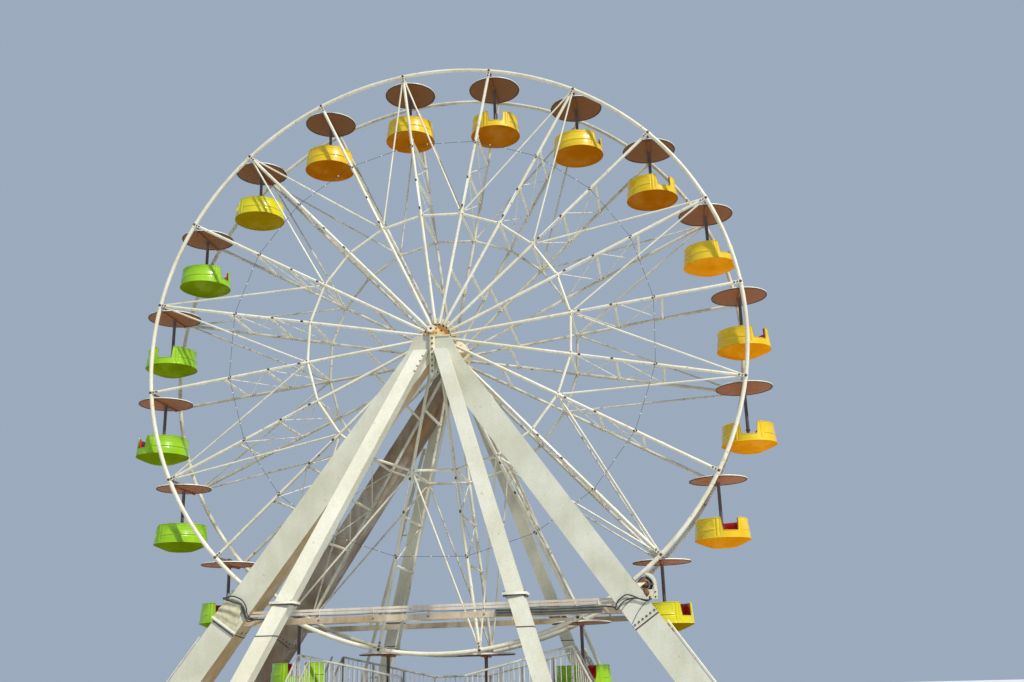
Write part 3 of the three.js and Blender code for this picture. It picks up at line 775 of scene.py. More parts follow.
def lamp_glass(name, colour):
    """Milky glass or plastic of the lamps, which are off."""
    f = Finish(name)
    dust = f.noise(12, 3)
    return f.done(
        Base_Color=f.blend(f.times(f.span(dust, 0.45, 0.7), 0.3), colour, (0.45, 0.43, 0.38)),
        Roughness=f.span(dust, 0.3, 0.7, 0.12, 0.4),
        Coat_Weight=0.6,
        Coat_Roughness=0.08,
    )


def make_finishes():
    """All finishes of the wheel by name."""
    c = bpy.context.scene.ferris_wheel_colours
    cream, grime, rust, floor = tuple(c.cream), tuple(c.grime), tuple(c.rust), tuple(c.floor)

    def paint(name, paint_colour, dirt=grime, **wear):
        return aged_paint(name, paint_colour, dirt, rust, **wear)

    return {
        # Painted shade: the main legs take a darker, greyer cream than the rakers, standing in for the
        # partial shade on their fronts
        "leg": paint("leg_paint", (0.53, 0.53, 0.41), wear=0.16, rusty=0.02, gloss=0.4),
        # The rear legs' dark rust-brown is partly rust and partly painted shade on the faces that turn to the
        # wheel
        "leg_rear": paint("rear_leg_paint", (0.25, 0.145, 0.06), (0.13, 0.08, 0.04),
                          wear=0.4, rusty=0.25, gloss=0.55),
        "leg_inner": paint("leg_side_paint", (0.56, 0.38, 0.17), (0.3, 0.19, 0.08),
                           wear=0.4, rusty=0.2, gloss=0.55),
        "raker": paint("raker_paint", (0.635, 0.62, 0.485), wear=0.14, rusty=0.1, gloss=0.38),
        "head": paint("head_paint", (0.72, 0.65, 0.38), wear=0.4, rusty=0.3, gloss=0.42),
        "tube": paint("tube_paint", cream, wear=0.3, rusty=0.3, gloss=0.36),
        # The rear side's paint is partly grime and rust and partly painted shade: a darker, greyer copy of
        # the cream for the far side of the wheel
        "tube_rear": paint("rear_tube_paint", (0.6, 0.57, 0.45), shade(grime, 0.8),
                           wear=0.45, rusty=0.45, gloss=0.5),
        "hub": paint("hub_paint", tuple(c.ochre), (0.5, 0.24, 0.08), wear=0.18, rusty=0.2, gloss=0.45),
        "hub_rear": paint("hub_rear_paint", (0.68, 0.6, 0.4), (0.42, 0.32, 0.16),
                          wear=0.3, rusty=0.3, gloss=0.45),
        "joint": paint("joint_plate_paint", (0.8, 0.77, 0.64), wear=0.1, rusty=0.1),
        "tie": paint("tie_beam_paint", (0.46, 0.34, 0.18), (0.24, 0.16, 0.08),
                     wear=0.5, rusty=0.12, gloss=0.5),
        "pipe": paint("tie_pipe_paint", (0.66, 0.56, 0.44), (0.3, 0.25, 0.18),
                      wear=0.35, rusty=0.15, gloss=0.45),
        "drive": paint("drive_paint", (0.8, 0.74, 0.55), wear=0.35, rusty=0.35, gloss=0.4),
        "canopy_top": paint("canopy_top_paint", mixed(cream, (0.88, 0.87, 0.8), 0.5),
                            wear=0.4, rusty=0.1, gloss=0.35),
        "deck": paint("deck_paint_worn", (0.3, 0.3, 0.28), (0.12, 0.11, 0.09),
                      wear=0.7, rusty=0.5, gloss=0.5),
        "rail": paint("rail_paint", mixed(cream, (0.6, 0.6, 0.58), 0.4), wear=0.6, rusty=0.5, gloss=0.42),
        "duct": plain_weathered("cable_duct", (0.075, 0.085, 0.08), (0.15, 0.15, 0.12), scale=3),
        "disc": plain_weathered("roller_disc_paint", (0.13, 0.055, 0.025), (0.24, 0.12, 0.06), scale=7),
        # Painted shadow: the near-black lip ring stands in for the shadow line under the canopy's rim
        "canopy_shadow_lip": plain_weathered("canopy_shadow_lip", (0.035, 0.022, 0.018), (0.09, 0.06, 0.045)),
        "rubber": plain_weathered("tyre_rubber", (0.022, 0.018, 0.016), (0.075, 0.055, 0.045), scale=8),
        "cable": plain_weathered("cable_sheath", (0.012, 0.012, 0.014), (0.05, 0.045, 0.045), scale=10),
        "grey": plain_weathered("grey_machine_paint", (0.28, 0.29, 0.3), (0.12, 0.12, 0.115), scale=5),
        "cover": plain_weathered("cover_sheet", (0.52, 0.5, 0.34), (0.34, 0.32, 0.2), scale=6),
        "floor": plain_weathered("studio_floor", floor, shade(floor, 0.94), (0.7, 0.9), 0.2),
        # Painted light: the underside runs from terracotta on low canopies to dark brown on high ones, as
        # painted bounce light and painted shade
        "canopy_under": underside("canopy_underside_painted_bounce", tuple(c.terracotta), (0.2, 0.085, 0.024),
                                  (0.2, 0.09, 0.035)),
        "yellow": moulding("yellow_moulding", tuple(c.yellow), (0.68, 0.42, 0.003), (0.32, 0.15, 0.02)),
        # Painted shade: each bowl finish is a darker copy of its tub's moulding, standing in for the shade
        # under the tub
        "yellow_bowl": moulding("yellow_bowl_painted_shade", (0.42, 0.14, 0.003), (0.36, 0.105, 0.002),
                                (0.2, 0.07, 0.01), 0),
        # Painted light: the amber bowl is a lighter, more orange copy, standing in for the light that the
        # ground throws up onto these bowls
        "amber_bowl": moulding("amber_bowl_painted_bounce_light", (0.85, 0.33, 0.006), (0.72, 0.25, 0.004),
                               (0.4, 0.14, 0.01), 0),
        "lemon": moulding("lemon_moulding", (0.68, 0.62, 0.006), (0.6, 0.5, 0.004), (0.3, 0.2, 0.02)),
        # Painted shade: the lemon bowl is a darker copy of the lemon moulding
        "lemon_bowl": moulding("lemon_bowl_painted_shade", (0.33, 0.22, 0.003), (0.27, 0.17, 0.002),
                               (0.15, 0.09, 0.01), 0),
        "lime": moulding("lime_moulding", tuple(c.lime), (0.22, 0.44, 0.003), (0.1, 0.15, 0.02)),
        # Painted shade: the lime bowl is a darker copy of the lime moulding
        "lime_bowl": moulding("lime_bowl_painted_shade", (0.2, 0.28, 0.004), (0.13, 0.2, 0.003),
                              (0.06, 0.08, 0.01), 0),
        "red": moulding("red_seat_moulding", tuple(c.red), (0.34, 0.004, 0.006), (0.16, 0.02, 0.02)),
        "post": steel("post_paint", (0.07, 0.05, 0.055), (0.13, 0.095, 0.08), 0.15, (0.3, 0.55)),
        "dark": steel("dark_steel", (0.075, 0.065, 0.06), (0.15, 0.1, 0.075), 0.6, (0.4, 0.7), rust),
        "bolt": steel("bolt_steel", (0.16, 0.13, 0.11), (0.3, 0.27, 0.24), 0.75, (0.35, 0.65), rust),
        "chequer": chequer_plate("chequer_plate", (0.2, 0.2, 0.195), (0.5, 0.49, 0.46)),
        "lamp": lamp_glass("lamp_tube", (0.86, 0.87, 0.84)),
        "bulb": lamp_glass("bulb_glass", (0.8, 0.72, 0.5)),
    }


FINISHES = {}


def finish(name):
    """The finish of that name; all finishes are made on first use."""
    if not FINISHES:
        FINISHES.update(make_finishes())
    return FINISHES[name]


# Places on the wheel and on the tower

def on_wheel(angle, radius, y=0.0):
    """A place on the wheel: the angle runs from straight up towards the right."""
    return HUB + Vector((radius * math.sin(angle), y, radius * math.cos(angle)))


def radial(angle):
    return Vector((math.sin(angle), 0, math.cos(angle)))


def tangent(angle):
    return Vector((math.cos(angle), 0, -math.sin(angle)))


def station_angle(index):
    offset = AXLES[index] - HUB
    return math.atan2(offset.x, offset.z)


def spoke_plane(radius, sizes):
    share = (radius - sizes.spoke_start) / (sizes.rim_radius - sizes.spoke_start)
    return sizes.hub_plane + (sizes.rim_plane - sizes.hub_plane) * share


class Leg:
    """A main leg: gives places on its faces by height, across its front and through its depth."""

    # HEAD and FOOT are the ends of the middle line of the front face of the front right leg, DEPTHS the
    # leg's depths there, and ACROSS runs over its front to its outer edge
    WIDTH = 0.68
    DEPTHS = (0.48, 0.9)
    HEAD = Vector((0.33, HEAD_FACE, 9.987))
    FOOT = Vector((7.29, 2.98, 0.0))
    ACROSS = Vector((9.987, 0, 6.96)).normalized()

    def __init__(self, side, end):
        self.side = side
        self.end = end

    def turn(self, vector):
        return Vector((vector[0] * self.side, vector[1] * self.end, vector[2]))

    def at(self, height, across=0.0, depth=0.0, out=0.0):
        """across runs from -0.5 on the inner edge to 0.5 on the outer one, depth from 0 in front to 1."""
        share = (self.HEAD.z - height) / self.HEAD.z
        middle = self.HEAD.lerp(self.FOOT, share)
        thick = self.DEPTHS[0] + (self.DEPTHS[1] - self.DEPTHS[0]) * share
        spot = Vector((middle.x, -middle.y + depth * thick, middle.z)) + self.ACROSS * (across * self.WIDTH)
        return self.turn(spot) + REAR * HUB.y + self.front() * out

    def on_base(self, across, depth):
        """A place where the leg meets the top of its base plate."""
        place, down = self.at(BASE_TOP, across, depth), self.down()
        return place + down * ((BASE_TOP - place.z) / down.z)

    def front(self):
        return self.turn((-0.0542, -0.9955, 0.0777))

    def outer(self):
        return self.turn(self.ACROSS)

    def down(self):
        return (self.at(0) - self.at(9)).normalized()


class Raker:
    """A square outer leg between its head and its foot."""

    def __init__(self, head, foot, size=0.345):
        self.head = Vector(head)
        self.foot = Vector(foot)
        self.size = size
        self.along = (self.foot - self.head).normalized()
        self.across = (REAR - self.along * REAR.dot(self.along)).normalized()
        self.third = self.along.cross(self.across)

    def at(self, height, across=0.0, third=0.0):
        """across and third run from -0.5 to 0.5 of the section."""
        share = (self.head.z - height) / (self.head.z - self.foot.z)
        return (self.head.lerp(self.foot, share) + self.across * (across * self.size)
                + self.third * (third * self.size))

    def level(self, across, third):
        """A step off the middle line within a level cut."""
        step = self.across * across + self.third * third
        return step - self.along * (step.z / self.along.z)


LEGS = {
    "front_left": Leg(-1, 1),
    "front_right": Leg(1, 1),
    "rear_left": Leg(-1, -1),
    "rear_right": Leg(1, -1),
}
RAKERS = {
    "front_left": Raker((-0.122, -0.774, 10.525), (-3.77, -6.34, 0)),
    "front_right": Raker((0.122, -0.774, 10.525), (3.77, -6.34, 0)),
    "rear_left": Raker((-0.21, 2.54, 10.41), (-3.6, 6.34, 0)),
    "rear_right": Raker((0.21, 2.54, 10.41), (3.6, 6.34, 0)),
}


# Gondola forms, about the gondola's own axle

def soft_step(value, low, high):
    share = min(1.0, max(0.0, (value - low) / (high - low)))
    return share * share * (3 - 2 * share)


def entry_edge(g):
    """Half the angle that an entry takes of the wall, in degrees."""
    return math.degrees(math.asin(g.entry / (g.belt_radius + g.rim_radius)))


def wall_top(off_entry, g):
    """Height of the wall over the foot, at an angle off the middle of an entry in degrees."""
    edge = entry_edge(g)
    return g.sill + (g.back - g.sill) * soft_step(off_entry, edge - 2.2, edge + 2.6)


def wall_radius(height, g):
    """The wall leans in from just over the belt to the rim."""
    low = g.belt + 0.02
    share = max(0.0, (height - low) / (g.back - low))
    return g.belt_radius - 0.013 - (g.belt_radius - g.rim_radius - 0.011) * share


def wall_relief(off_entry, height, g):
    """How far the wall stands out of its plain line: a bead at mid height, an upright rib and two grooves."""
    def ridge(value, middle, half_width, power=2):
        return math.exp(-((value - middle) / half_width) ** power)

    off_ribs = soft_step(off_entry, 33, 36)
    bead = ridge(height, 0.405, 0.013) * off_ribs
    under_bead = ridge(height, 0.375, 0.012) * off_ribs
    band = soft_step(height, 0.46, 0.49) * (1 - soft_step(height, 0.63, 0.655))
    panel = band * soft_step(off_entry, 37, 41)
    rib = ridge(off_entry, 28.5, 2.3, 4)
    grooves = ridge(off_entry, 24.7, 0.9) + ridge(off_entry, 32.3, 0.9)
    above_belt = soft_step(height, g.belt + 0.03, g.belt + 0.06)
    return 0.011 * bead - 0.009 * under_bead - 0.010 * panel + (0.008 * rib - 0.010 * grooves) * above_belt


def tub_forms(g):
    """The moulded shell in two closed forms: the bowl up to the belt, and the wall with two entries."""
    # Angles off the middle of an entry and shares of the wall's height, closer where the wall is shaped
    quarter = [0, 5, 10, 14, 15.4, 16.4, 17.2, 18, 18.8, 19.6, 20.6, 22.4, 23.8, 24.7, 25.6, 26.6, 28.5, 30.4,
               31.4, 32.3, 33.2, 34.5, 36, 38, 40.5, 44, 50, 56, 62, 68, 74, 80, 85, 90]
    half = quarter + [180 - a for a in reversed(quarter[:-1])]
    angles = half + [360 - a for a in reversed(half[1:-1])]
    shares = [0.0, 0.04, 0.09, 0.16, 0.24, 0.31, 0.34, 0.36, 0.375, 0.39, 0.405, 0.42, 0.435, 0.465, 0.5,
              0.55, 0.6, 0.7, 0.8, 0.86, 0.89, 0.92, 0.95, 1.0]
    bowl, wall = Shape(), Shape()
    outer = [(0, 0), (0.2, 0), (0.33, 0), (0.362, 0.008), (0.43, 0.034), (0.5, 0.062), (0.56, 0.088),
             (0.62, 0.115), (0.68, 0.141), (0.72, 0.159), (0.738, 0.168), (g.belt_radius, g.belt)]
    inner = [(g.belt_radius - 0.03, g.belt + 0.001), (0.6, 0.14), (0.44, 0.09), (0, 0.075)]
    bowl.turned([(r, z + g.tub_bottom) for r, z in outer + inner], sides=96)
    low = g.belt + 0.022
    rows = []
    for angle in angles:
        off = min(angle % 180, 180 - angle % 180)
        top = wall_top(off, g)
        lip = wall_radius(top, g)
        section = [(g.belt_radius - 0.029, g.belt + 0.002), (g.belt_radius - 0.001, g.belt + 0.002),
                   (g.belt_radius, g.belt + 0.012), (g.belt_radius - 0.006, g.belt + 0.018)]
        for z in [low + (top - 0.02 - low) * share for share in shares]:
            section.append((wall_radius(z, g) + wall_relief(off, z, g), z))
        section += [(lip + 0.009, top - 0.016), (lip + 0.011, top - 0.006), (lip + 0.006, top),
                    (lip - g.wall, top), (lip - g.wall - 0.004, top - 0.02)]
        for z in [low + (top - low) * share for share in (0.7, 0.35, 0.08)]:
            section.append((wall_radius(z, g) - g.wall - 0.006, z))
        turn = math.radians(angle) - math.pi / 2
        rows.append([polar(r, turn, z + g.tub_bottom) for r, z in section])
    wall.skin(rows, closed=True)
    return bowl, wall


def bench_form(g):
    """Two curved seats with backs that line the high backs, sunk a little at their ends."""
    shape = Shape()
    edge = entry_edge(g) + 3.0
    section = [(0.385, 0.1), (0.385, 0.3), (0.39, 0.318), (0.41, 0.328), (0.5, 0.321), (0.595, 0.324),
               (0.624, 0.338), (0.637, 0.37), (0.638, 0.5), (0.634, 0.62), (0.632, 0.675), (0.636, 0.694),
               (0.645, 0.701), (0.654, 0.694), (0.662, 0.6), (0.684, 0.34), (0.66, 0.21), (0.56, 0.15),
               (0.45, 0.11)]
    steps = 26
    for middle in (0, 180):
        rows = []
        for i in range(steps + 1):
            turn = math.radians(middle - 90 + edge + (180 - 2 * edge) * i / steps)
            sink = 0.012 * max(0.0, 1 - min(i, steps - i)) ** 2
            rows.append([polar(r - sink if r > 0.6 else r + sink * 0.5, turn,
                               g.tub_bottom + (z - sink if z > 0.25 else z)) for r, z in section])
        shape.skin(rows)
    return shape


def canopy_meshes(g):
    """The disc: a crowned cream top with its edge strip, a near-black lip that stands in for the shadow under
    the rim as painted shadow, a smooth underside and its beam.
    """
    r = g.canopy_radius
    top, edge, under, beam = Shape(), Shape(), Shape(), Shape()
    top.turned([(0, -0.02), (0.12, -0.022), (0.35, -0.034), (0.58, -0.053), (0.7, -0.068),
                (r - 0.025, -0.0755), (r - 0.006, -0.079), (r - 0.001, -0.084), (r - 0.002, -0.102),
                (r - 0.01, -0.104), (r - 0.02, -0.098), (0.5, -0.094), (0, -0.094)], sides=72)
    # Painted shadow: the dark lip ring under the edge strip stands in for the shadow line under the rim
    edge.turned([(r - 0.02, -0.1005), (r - 0.006, -0.1035), (r - 0.003, -0.110), (r - 0.006, -0.119),
                 (r - 0.018, -0.124), (r - 0.034, -0.122), (r - 0.036, -0.104)], sides=72, closed=True)
    under.turned([(0, -0.1), (0.2, -0.1), (r - 0.038, -0.0985), (r - 0.038, -0.111), (0.66, -0.117),
                  (0.5, -0.124), (0.3, -0.13), (0.13, -0.134), (0.0, -0.135)], sides=72)
    beam.block((0.06, 1.44, 0.056), Matrix.Translation((0, 0, -0.137)), 0.006)
    return [top.finished("canopy_top"), edge.finished("canopy_shadow_lip"),
            under.finished("canopy_under"), beam.finished("canopy_under")]


def hanger_meshes(g):
    """The middle post with its foot flange and hand ring, and the cross axle with its collars."""
    dark, spots = Shape(), Spots()
    half = g.post / 2
    foot = g.tub_bottom + 0.076
    axle = aim((0, 0, 0), REAR)
    reach = 0.869
    dark.turned([(0, foot), (0.115, foot), (0.115, foot + 0.016), (0.062, foot + 0.018), (half, foot + 0.05),
                 (half, -0.2), (0.056, -0.17), (0.06, -0.136), (0, -0.136)], sides=24)
    dark.turned([(half + 0.001, foot + 0.5), (half + 0.014, foot + 0.505), (half + 0.014, foot + 0.545),
                 (half + 0.001, foot + 0.55)], sides=24, closed=True)
    dark.turned(both_ways([(0, reach), (0.03, reach)]), axle, 20)
    for y in (-0.795, 0.795):
        dark.turned([(0.03, y - 0.02), (0.046, y - 0.018), (0.048, y), (0.046, y + 0.018), (0.03, y + 0.02)],
                    axle, 20, closed=True)
    dark.turned(both_ways([(0, 0.09), (0.058, 0.09), (0.062, 0.08)]), axle, 24)
    dark.turned([(0.055, -0.03), (0.06, -0.1), (0.05, -0.12), (0, -0.12), (0, -0.03)], sides=20)
    spots.circle(Matrix.Translation((0, 0, foot + 0.016)), 0.092, 6)
    return [dark.finished("post"), bolts(spots, 0.022)]


# Operators

class Dresser:
    """What all operators share."""

    bl_options = {"REGISTER", "UNDO"}

    def sizes(self, context, name):
        return getattr(context.scene, f"ferris_wheel_{name}")


class FERRIS_OT_stage(Dresser, Operator):
    """Adds the camera, the pale floor and the soft light"""

    bl_idname = "ferris_wheel.stage"
    bl_label = "Stage"

    SUN_FROM = (0.56, -0.46, 0.8)
    SUN_COLOUR = (1.0, 0.955, 0.86)
    SKY_COLOUR = (0.44, 0.54, 0.68, 1)

    def execute(self, context):
        s = self.sizes(context, "stage")
        forward = Vector((
            math.sin(s.heading) * math.cos(s.pitch), math.cos(s.heading) * math.cos(s.pitch),
            math.sin(s.pitch)))
        level = Vector((math.cos(s.heading), -math.sin(s.heading), 0))
        above = level.cross(forward)
        right = level * math.cos(s.roll) + above * math.sin(s.roll)
        up = above * math.cos(s.roll) - level * math.sin(s.roll)
        data = bpy.data.cameras.new("camera")
        data.lens = s.lens
        data.sensor_width = 36
        data.clip_end = 500
        camera = bpy.data.objects.new("camera", data)
        context.scene.collection.objects.link(camera)
        camera.matrix_world = Matrix.Translation(Vector(s.eye)) @ Matrix(
            (right, up, -forward)).transposed().to_4x4()
        context.scene.camera = camera

        sun = bpy.data.lights.new("key_light", "SUN")
        sun.energy = s.sun
        sun.angle = 0.06
        sun.color = self.SUN_COLOUR
        key = bpy.data.objects.new("key_light", sun)
        key.matrix_world = aim((12, -18, 30), self.SUN_FROM)
        context.scene.collection.objects.link(key)

        world = bpy.data.worlds.new("soft_sky")
        world.use_nodes = True
        background = world.node_tree.nodes["Background"]
        background.inputs["Color"].default_value = self.SKY_COLOUR
        background.inputs["Strength"].default_value = s.sky
        context.scene.world = world
        context.scene.view_settings.view_transform = "Standard"

        if s.has_floor:
            shape, radius = Shape(), s.floor_radius
            shape.turned([(0, -0.02), (radius, -0.02), (radius, -0.001), (0, -0.001)], sides=96)
            floor = bpy.data.objects.new("studio_floor", shape.finished("floor"))
            context.scene.collection.objects.link(floor)
        return {"FINISHED"}


class FERRIS_OT_wheel_sides(Dresser, Operator):
    """Makes both flat sides of the wheel from round tubes, with their joints, plates and bearings"""

    bl_idname = "ferris_wheel.wheel_sides"
    bl_label = "Wheel Sides"

    def execute(self, context):
        w = self.sizes(context, "wheel")
        # The rear side takes the darker, greyer paint, partly grime and partly painted shade
        for name, side, paint in (("front", -1, "tube"), ("rear", 1, "tube_rear")):
            parts = self.side(w, side, paint)
            build(f"wheel_{name}_lattice", parts, "wheel", [f"wheel_{name}_side"])
        return {"FINISHED"}

    def sleeve(self, shape, place, tube, half, rise, ease=0.004, bite=0.002, sides=16):
        """A short sleeve with eased ends round a tube: rise is its thickness, bite how far it sits in."""
        profile = both_ways([(tube / 2 - bite, half), (tube / 2 + rise, half - ease)])
        shape.turned(profile, place, sides, closed=True)

    def side(self, w, side, paint):
        start = station_angle(0)
        step = 2 * math.pi / STATIONS
        facing = REAR * side
        rim, spokes, ring, rods = Lines(), Lines(), Lines(), Lines()
        bearings, sleeves, spots, small = Shape(), Shape(), Spots(), Spots()
        rim.add(*[on_wheel(start + i * step / 8, w.rim_radius, side * w.rim_plane)
                  for i in range(STATIONS * 8)], closed=True)
        ring_plane = side * spoke_plane(w.ring_radius, w)
        for index in range(2):
            angle = station_angle(index)
            root = on_wheel(angle, w.spoke_start, side * w.hub_plane)
            node = on_wheel(angle, w.rim_radius, side * w.rim_plane)
            ring_node = on_wheel(angle, w.ring_radius, ring_plane)
            spokes.add(root, node)
            ring.add(ring_node, on_wheel(angle + step, w.ring_radius, ring_plane))
            outward, along = (node - root).normalized(), tangent(angle)
            # Sleeve of the rim joint, its lug and its bolts
            self.sleeve(sleeves, aim(node, along, facing), w.rim_tube, 0.1, 0.006, sides=20)
            lug = aim(node - outward * 0.13 + facing * 0.05, facing, outward)
            sleeves.block((0.2, 0.09, 0.012), lug, 0.03)
            for inward in (0.09, 0.17):
                spots.add(node - outward * inward + facing * 0.056, facing)
            # Bearing of the gondola axle
            bearings.turned([(0, 0.0), (0.05, 0.0), (0.05, 0.07), (0.045, 0.096), (0.031, 0.096)],
                            aim(node, -facing), 20)
            bearings.turned([(0, 0.05), (0.04, 0.05), (0.04, 0.066), (0.02, 0.08), (0, 0.082)],
                            aim(node, facing), 20)
            # Joint of the inner ring
            self.sleeve(sleeves, aim(ring_node, along, facing), w.ring_tube, 0.08, 0.005, 0.003)
            for shift in (-0.05, 0.05):
                small.add(ring_node + along * shift + facing * (w.ring_tube / 2 + 0.004), facing)
            # Splice sleeve on the spoke
            middle = on_wheel(angle, SPLICE_RADIUS, side * spoke_plane(SPLICE_RADIUS, w))
            self.sleeve(sleeves, aim(middle, outward, facing), w.spoke_tube, 0.09, 0.005, bite=0.001)
        # Rods from a rim joint to its neighbours on the inner ring
        node = on_wheel(station_angle(1), w.rim_radius, side * w.rim_plane)
        for turn in (-step, step):
            foot = on_wheel(station_angle(1) + turn, w.ring_radius, ring_plane)
            along = (foot - node).normalized()
            rods.add(node + along * 0.22, foot - along * 0.14)
            for end, inward, length in ((node, along, 0.26), (foot, -along, 0.2)):
                place = aim(end + inward * (length / 2 + 0.05), facing, along)
                sleeves.block((length, 0.06, 0.012), place, 0.02)
                small.add(end + inward * 0.14 + facing * 0.006, facing)
        return [tubes(rim, w.rim_tube, paint, 14), *around([
            tubes(spokes, w.spoke_tube, paint, 12), tubes(ring, w.ring_tube, paint),
            tubes(rods, w.rod, paint), sleeves.finished(paint), bearings.finished("dark"),
            bolts(spots, 0.034), bolts(small, 0.02, seed=7)])]


class FERRIS_OT_cross_struts(Dresser, Operator):
    """Joins both wheel sides with struts and slanted braces at each station"""

    bl_idname = "ferris_wheel.cross_struts"
    bl_label = "Cross Struts"

    # Distances of the struts from the axle; one more row stands at the inner ring
    LOWEST = 2.05
    UPPER = (5.03, 6.33)

    def execute(self, context):
        w = self.sizes(context, "wheel")
        struts, braces, flanges, spots = Lines(), Lines(), Shape(), Spots()
        angle = station_angle(0)
        along = tangent(angle)
        levels = (self.LOWEST, w.ring_radius, *self.UPPER)
        for radius in levels:
            plane = spoke_plane(radius, w)
            reach = plane - w.spoke_tube / 2 + 0.004
            struts.add(on_wheel(angle, radius, -reach), on_wheel(angle, radius, reach))
            for side in (-1, 1):
                facing = REAR * -side
                place = aim(on_wheel(angle, radius, side * (plane - w.spoke_tube / 2 - 0.01)), facing)
                flanges.ring_plate(0.062, w.strut / 2 - 0.001, 0.012, place, 16)
                spots.circle(aim(place.translation + facing * 0.006, facing), 0.05, 4, 0.78)
        for low, high in zip(levels[1:], levels[2:]):
            for side in (-1, 1):
                start = on_wheel(angle, low + 0.09, side * (spoke_plane(low, w) - 0.08))
                end = on_wheel(angle, high - 0.09, -side * (spoke_plane(high, w) - 0.08))
                shift = along * (side * 0.02)
                braces.add(start + shift, end + shift)
                for spot, inward in ((start, end - start), (end, start - end)):
                    flanges.block((0.13, 0.05, 0.01),
                                  aim(spot + shift * 0.5 + inward.normalized() * 0.02, along, inward))
        parts = around([tubes(struts, w.strut, "tube"), tubes(braces, w.brace, "tube", 8),
                        flanges.finished("tube"), bolts(spots, 0.016)], STATIONS)
        build("wheel_cross_struts", parts, "wheel")
        return {"FINISHED"}


class FERRIS_OT_lamps(Dresser, Operator):
    """Adds the ring cables with bulbs and the lamp tubes near the inner ring"""

    bl_idname = "ferris_wheel.lamps"
    bl_label = "Lamps"

    # Distances of a lamp tube's ends from the axle, and how far the cable hangs between two spokes
    TUBE_ENDS = (4.02, 4.92)
    SLACK = 0.07

    def execute(self, context):
        w = self.sizes(context, "wheel")
        step = 2 * math.pi / STATIONS
        cable, holders, lamps = Lines(), Shape(), Lines()
        plane = spoke_plane(w.cable_radius, w) + 0.055
        angle = station_angle(0)
        points = []
        for i in range(11):
            share = i / 10
            points.append(on_wheel(angle + step * share, w.cable_radius - hang(share, self.SLACK), -plane))
        cable.add(*points)
        holders.block((0.05, 0.11, 0.02), aim(points[0] + REAR * 0.01, FRONT), 0.01)
        lamp_plane = spoke_plane(4.3, w) + 0.075
        ends = [on_wheel(angle, radius, -lamp_plane) for radius in self.TUBE_ENDS]
        lamps.add(*ends)
        for spot in ends:
            holders.turned(both_ways([(0, 0.035), (0.026, 0.035)]), aim(spot, radial(angle)), 12)
            holders.block((0.04, 0.03, 0.07), aim(spot + REAR * 0.035, FRONT), 0.006)
        bulbs = grow("bulbs", cable.mesh(), finish("bulb"), {"Spacing": w.lamp_spacing, "Bulb Radius": 0.019})
        parts = around([tubes(cable, 0.011, "cable", 6), bulbs, holders.finished("dark"),
                        tubes(lamps, 0.038, "lamp")], STATIONS)
        build("wheel_lamps", parts, "wheel")
        return {"FINISHED"}


class FERRIS_OT_hub(Dresser, Operator):
    """Makes the hub drum, its flanges with gussets and bolts, and the ends of the axle"""

    bl_idname = "ferris_wheel.hub"
    bl_label = "Hub"

    def execute(self, context):
        w = self.sizes(context, "wheel")
        drum, roots, bolts_out = Shape(), Shape(), Spots()
        ring, bore_shade_disc = Shape(), Shape()
        gussets = {-1: Shape(), 1: Shape()}
        r = w.flange_radius
        face = spoke_plane(r, w) - w.spoke_tube / 2 - 0.001
        back = face - 0.036
        half = [(0.3, back - 0.12), (0.315, back - 0.09), (0.34, back), (r - 0.006, back), (r, back + 0.006),
                (r, face - 0.006), (r - 0.006, face), (HUB_PAINT_RADIUS, face), (0.26, face),
                (0.255, face + 0.03), (0.2, face + 0.035), (0.19, face + 0.12), (0.112, face + 0.13),
                (0.11, face + 0.16), (0.09, face + 0.19), (0.09, AXLE_END), (0.08, AXLE_END + 0.01),
                (0, AXLE_END + 0.01)]
        drum.turned(both_ways(half[::-1]), aim(HUB, REAR), 64)
        for side in (-1, 1):
            facing = REAR * side
            drum.turned(both_ways([(0.3, 0.02), (0.33, 0.016)]),
                        aim(HUB + facing * 0.4, REAR), 48, closed=True)
            for i in range(10):
                turn = 2 * math.pi * (i + 0.5) / 10
                along = Vector((math.cos(turn), 0, math.sin(turn)))
                gussets[side].plate([(0.29, 0), (0.53, 0), (0.53, 0.03), (0.31, 0.3), (0.29, 0.3)], 0.016,
                                    aim(HUB + facing * back, along.cross(-facing), along))
            for index in range(STATIONS):
                angle = station_angle(index)
                middle = HUB + radial(angle) * ROOT_RADIUS + facing * spoke_plane(ROOT_RADIUS, w)
                for shift in (0.05, -0.05):
                    place = aim(middle + tangent(angle) * shift, facing, radial(angle))
                    roots.block((0.2, 0.012, 0.07), place)
                if index % 2:
                    spot = HUB + radial(angle + math.pi / STATIONS) * 0.39 + facing * face
                    for shift in (-0.055, 0.055):
                        bolts_out.add(spot + tangent(angle) * shift, facing)
            bolts_out.circle(aim(HUB + facing * (face + 0.032), facing), 0.226, 8, 0.2)
            place = aim(HUB + facing * AXLE_END, facing)
            ring.turned([(0.036, -0.02), (0.08, -0.05), (0.092, -0.045), (0.096, 0.02), (0.088, 0.034),
                         (0.044, 0.036), (0.036, 0.03)], place, 40, closed=True)
            # Painted shade: a flat dark disc stands in for the shade inside the hollow end of the axle
            bore_shade_disc.turned([(0, 0.014), (0.038, 0.014), (0.038, -0.01), (0, -0.01)], place, 24)
        turned = drum.finished("hub", "hub_rear", "tube")
        for part in turned.polygons:
            middle = part.center - HUB
            if middle.y > 0:
                part.material_index = 1
            elif math.hypot(middle.x, middle.z) > HUB_PAINT_RADIUS:
                part.material_index = 2
        parts = [turned, gussets[-1].finished("hub"), gussets[1].finished("hub_rear"), roots.finished("tube"),
                 ring.finished("joint"), bore_shade_disc.finished("post"), bolts(bolts_out, 0.042, "disc")]
        build("wheel_hub", parts, "wheel", ["hub_and_axle"])
        return {"FINISHED"}


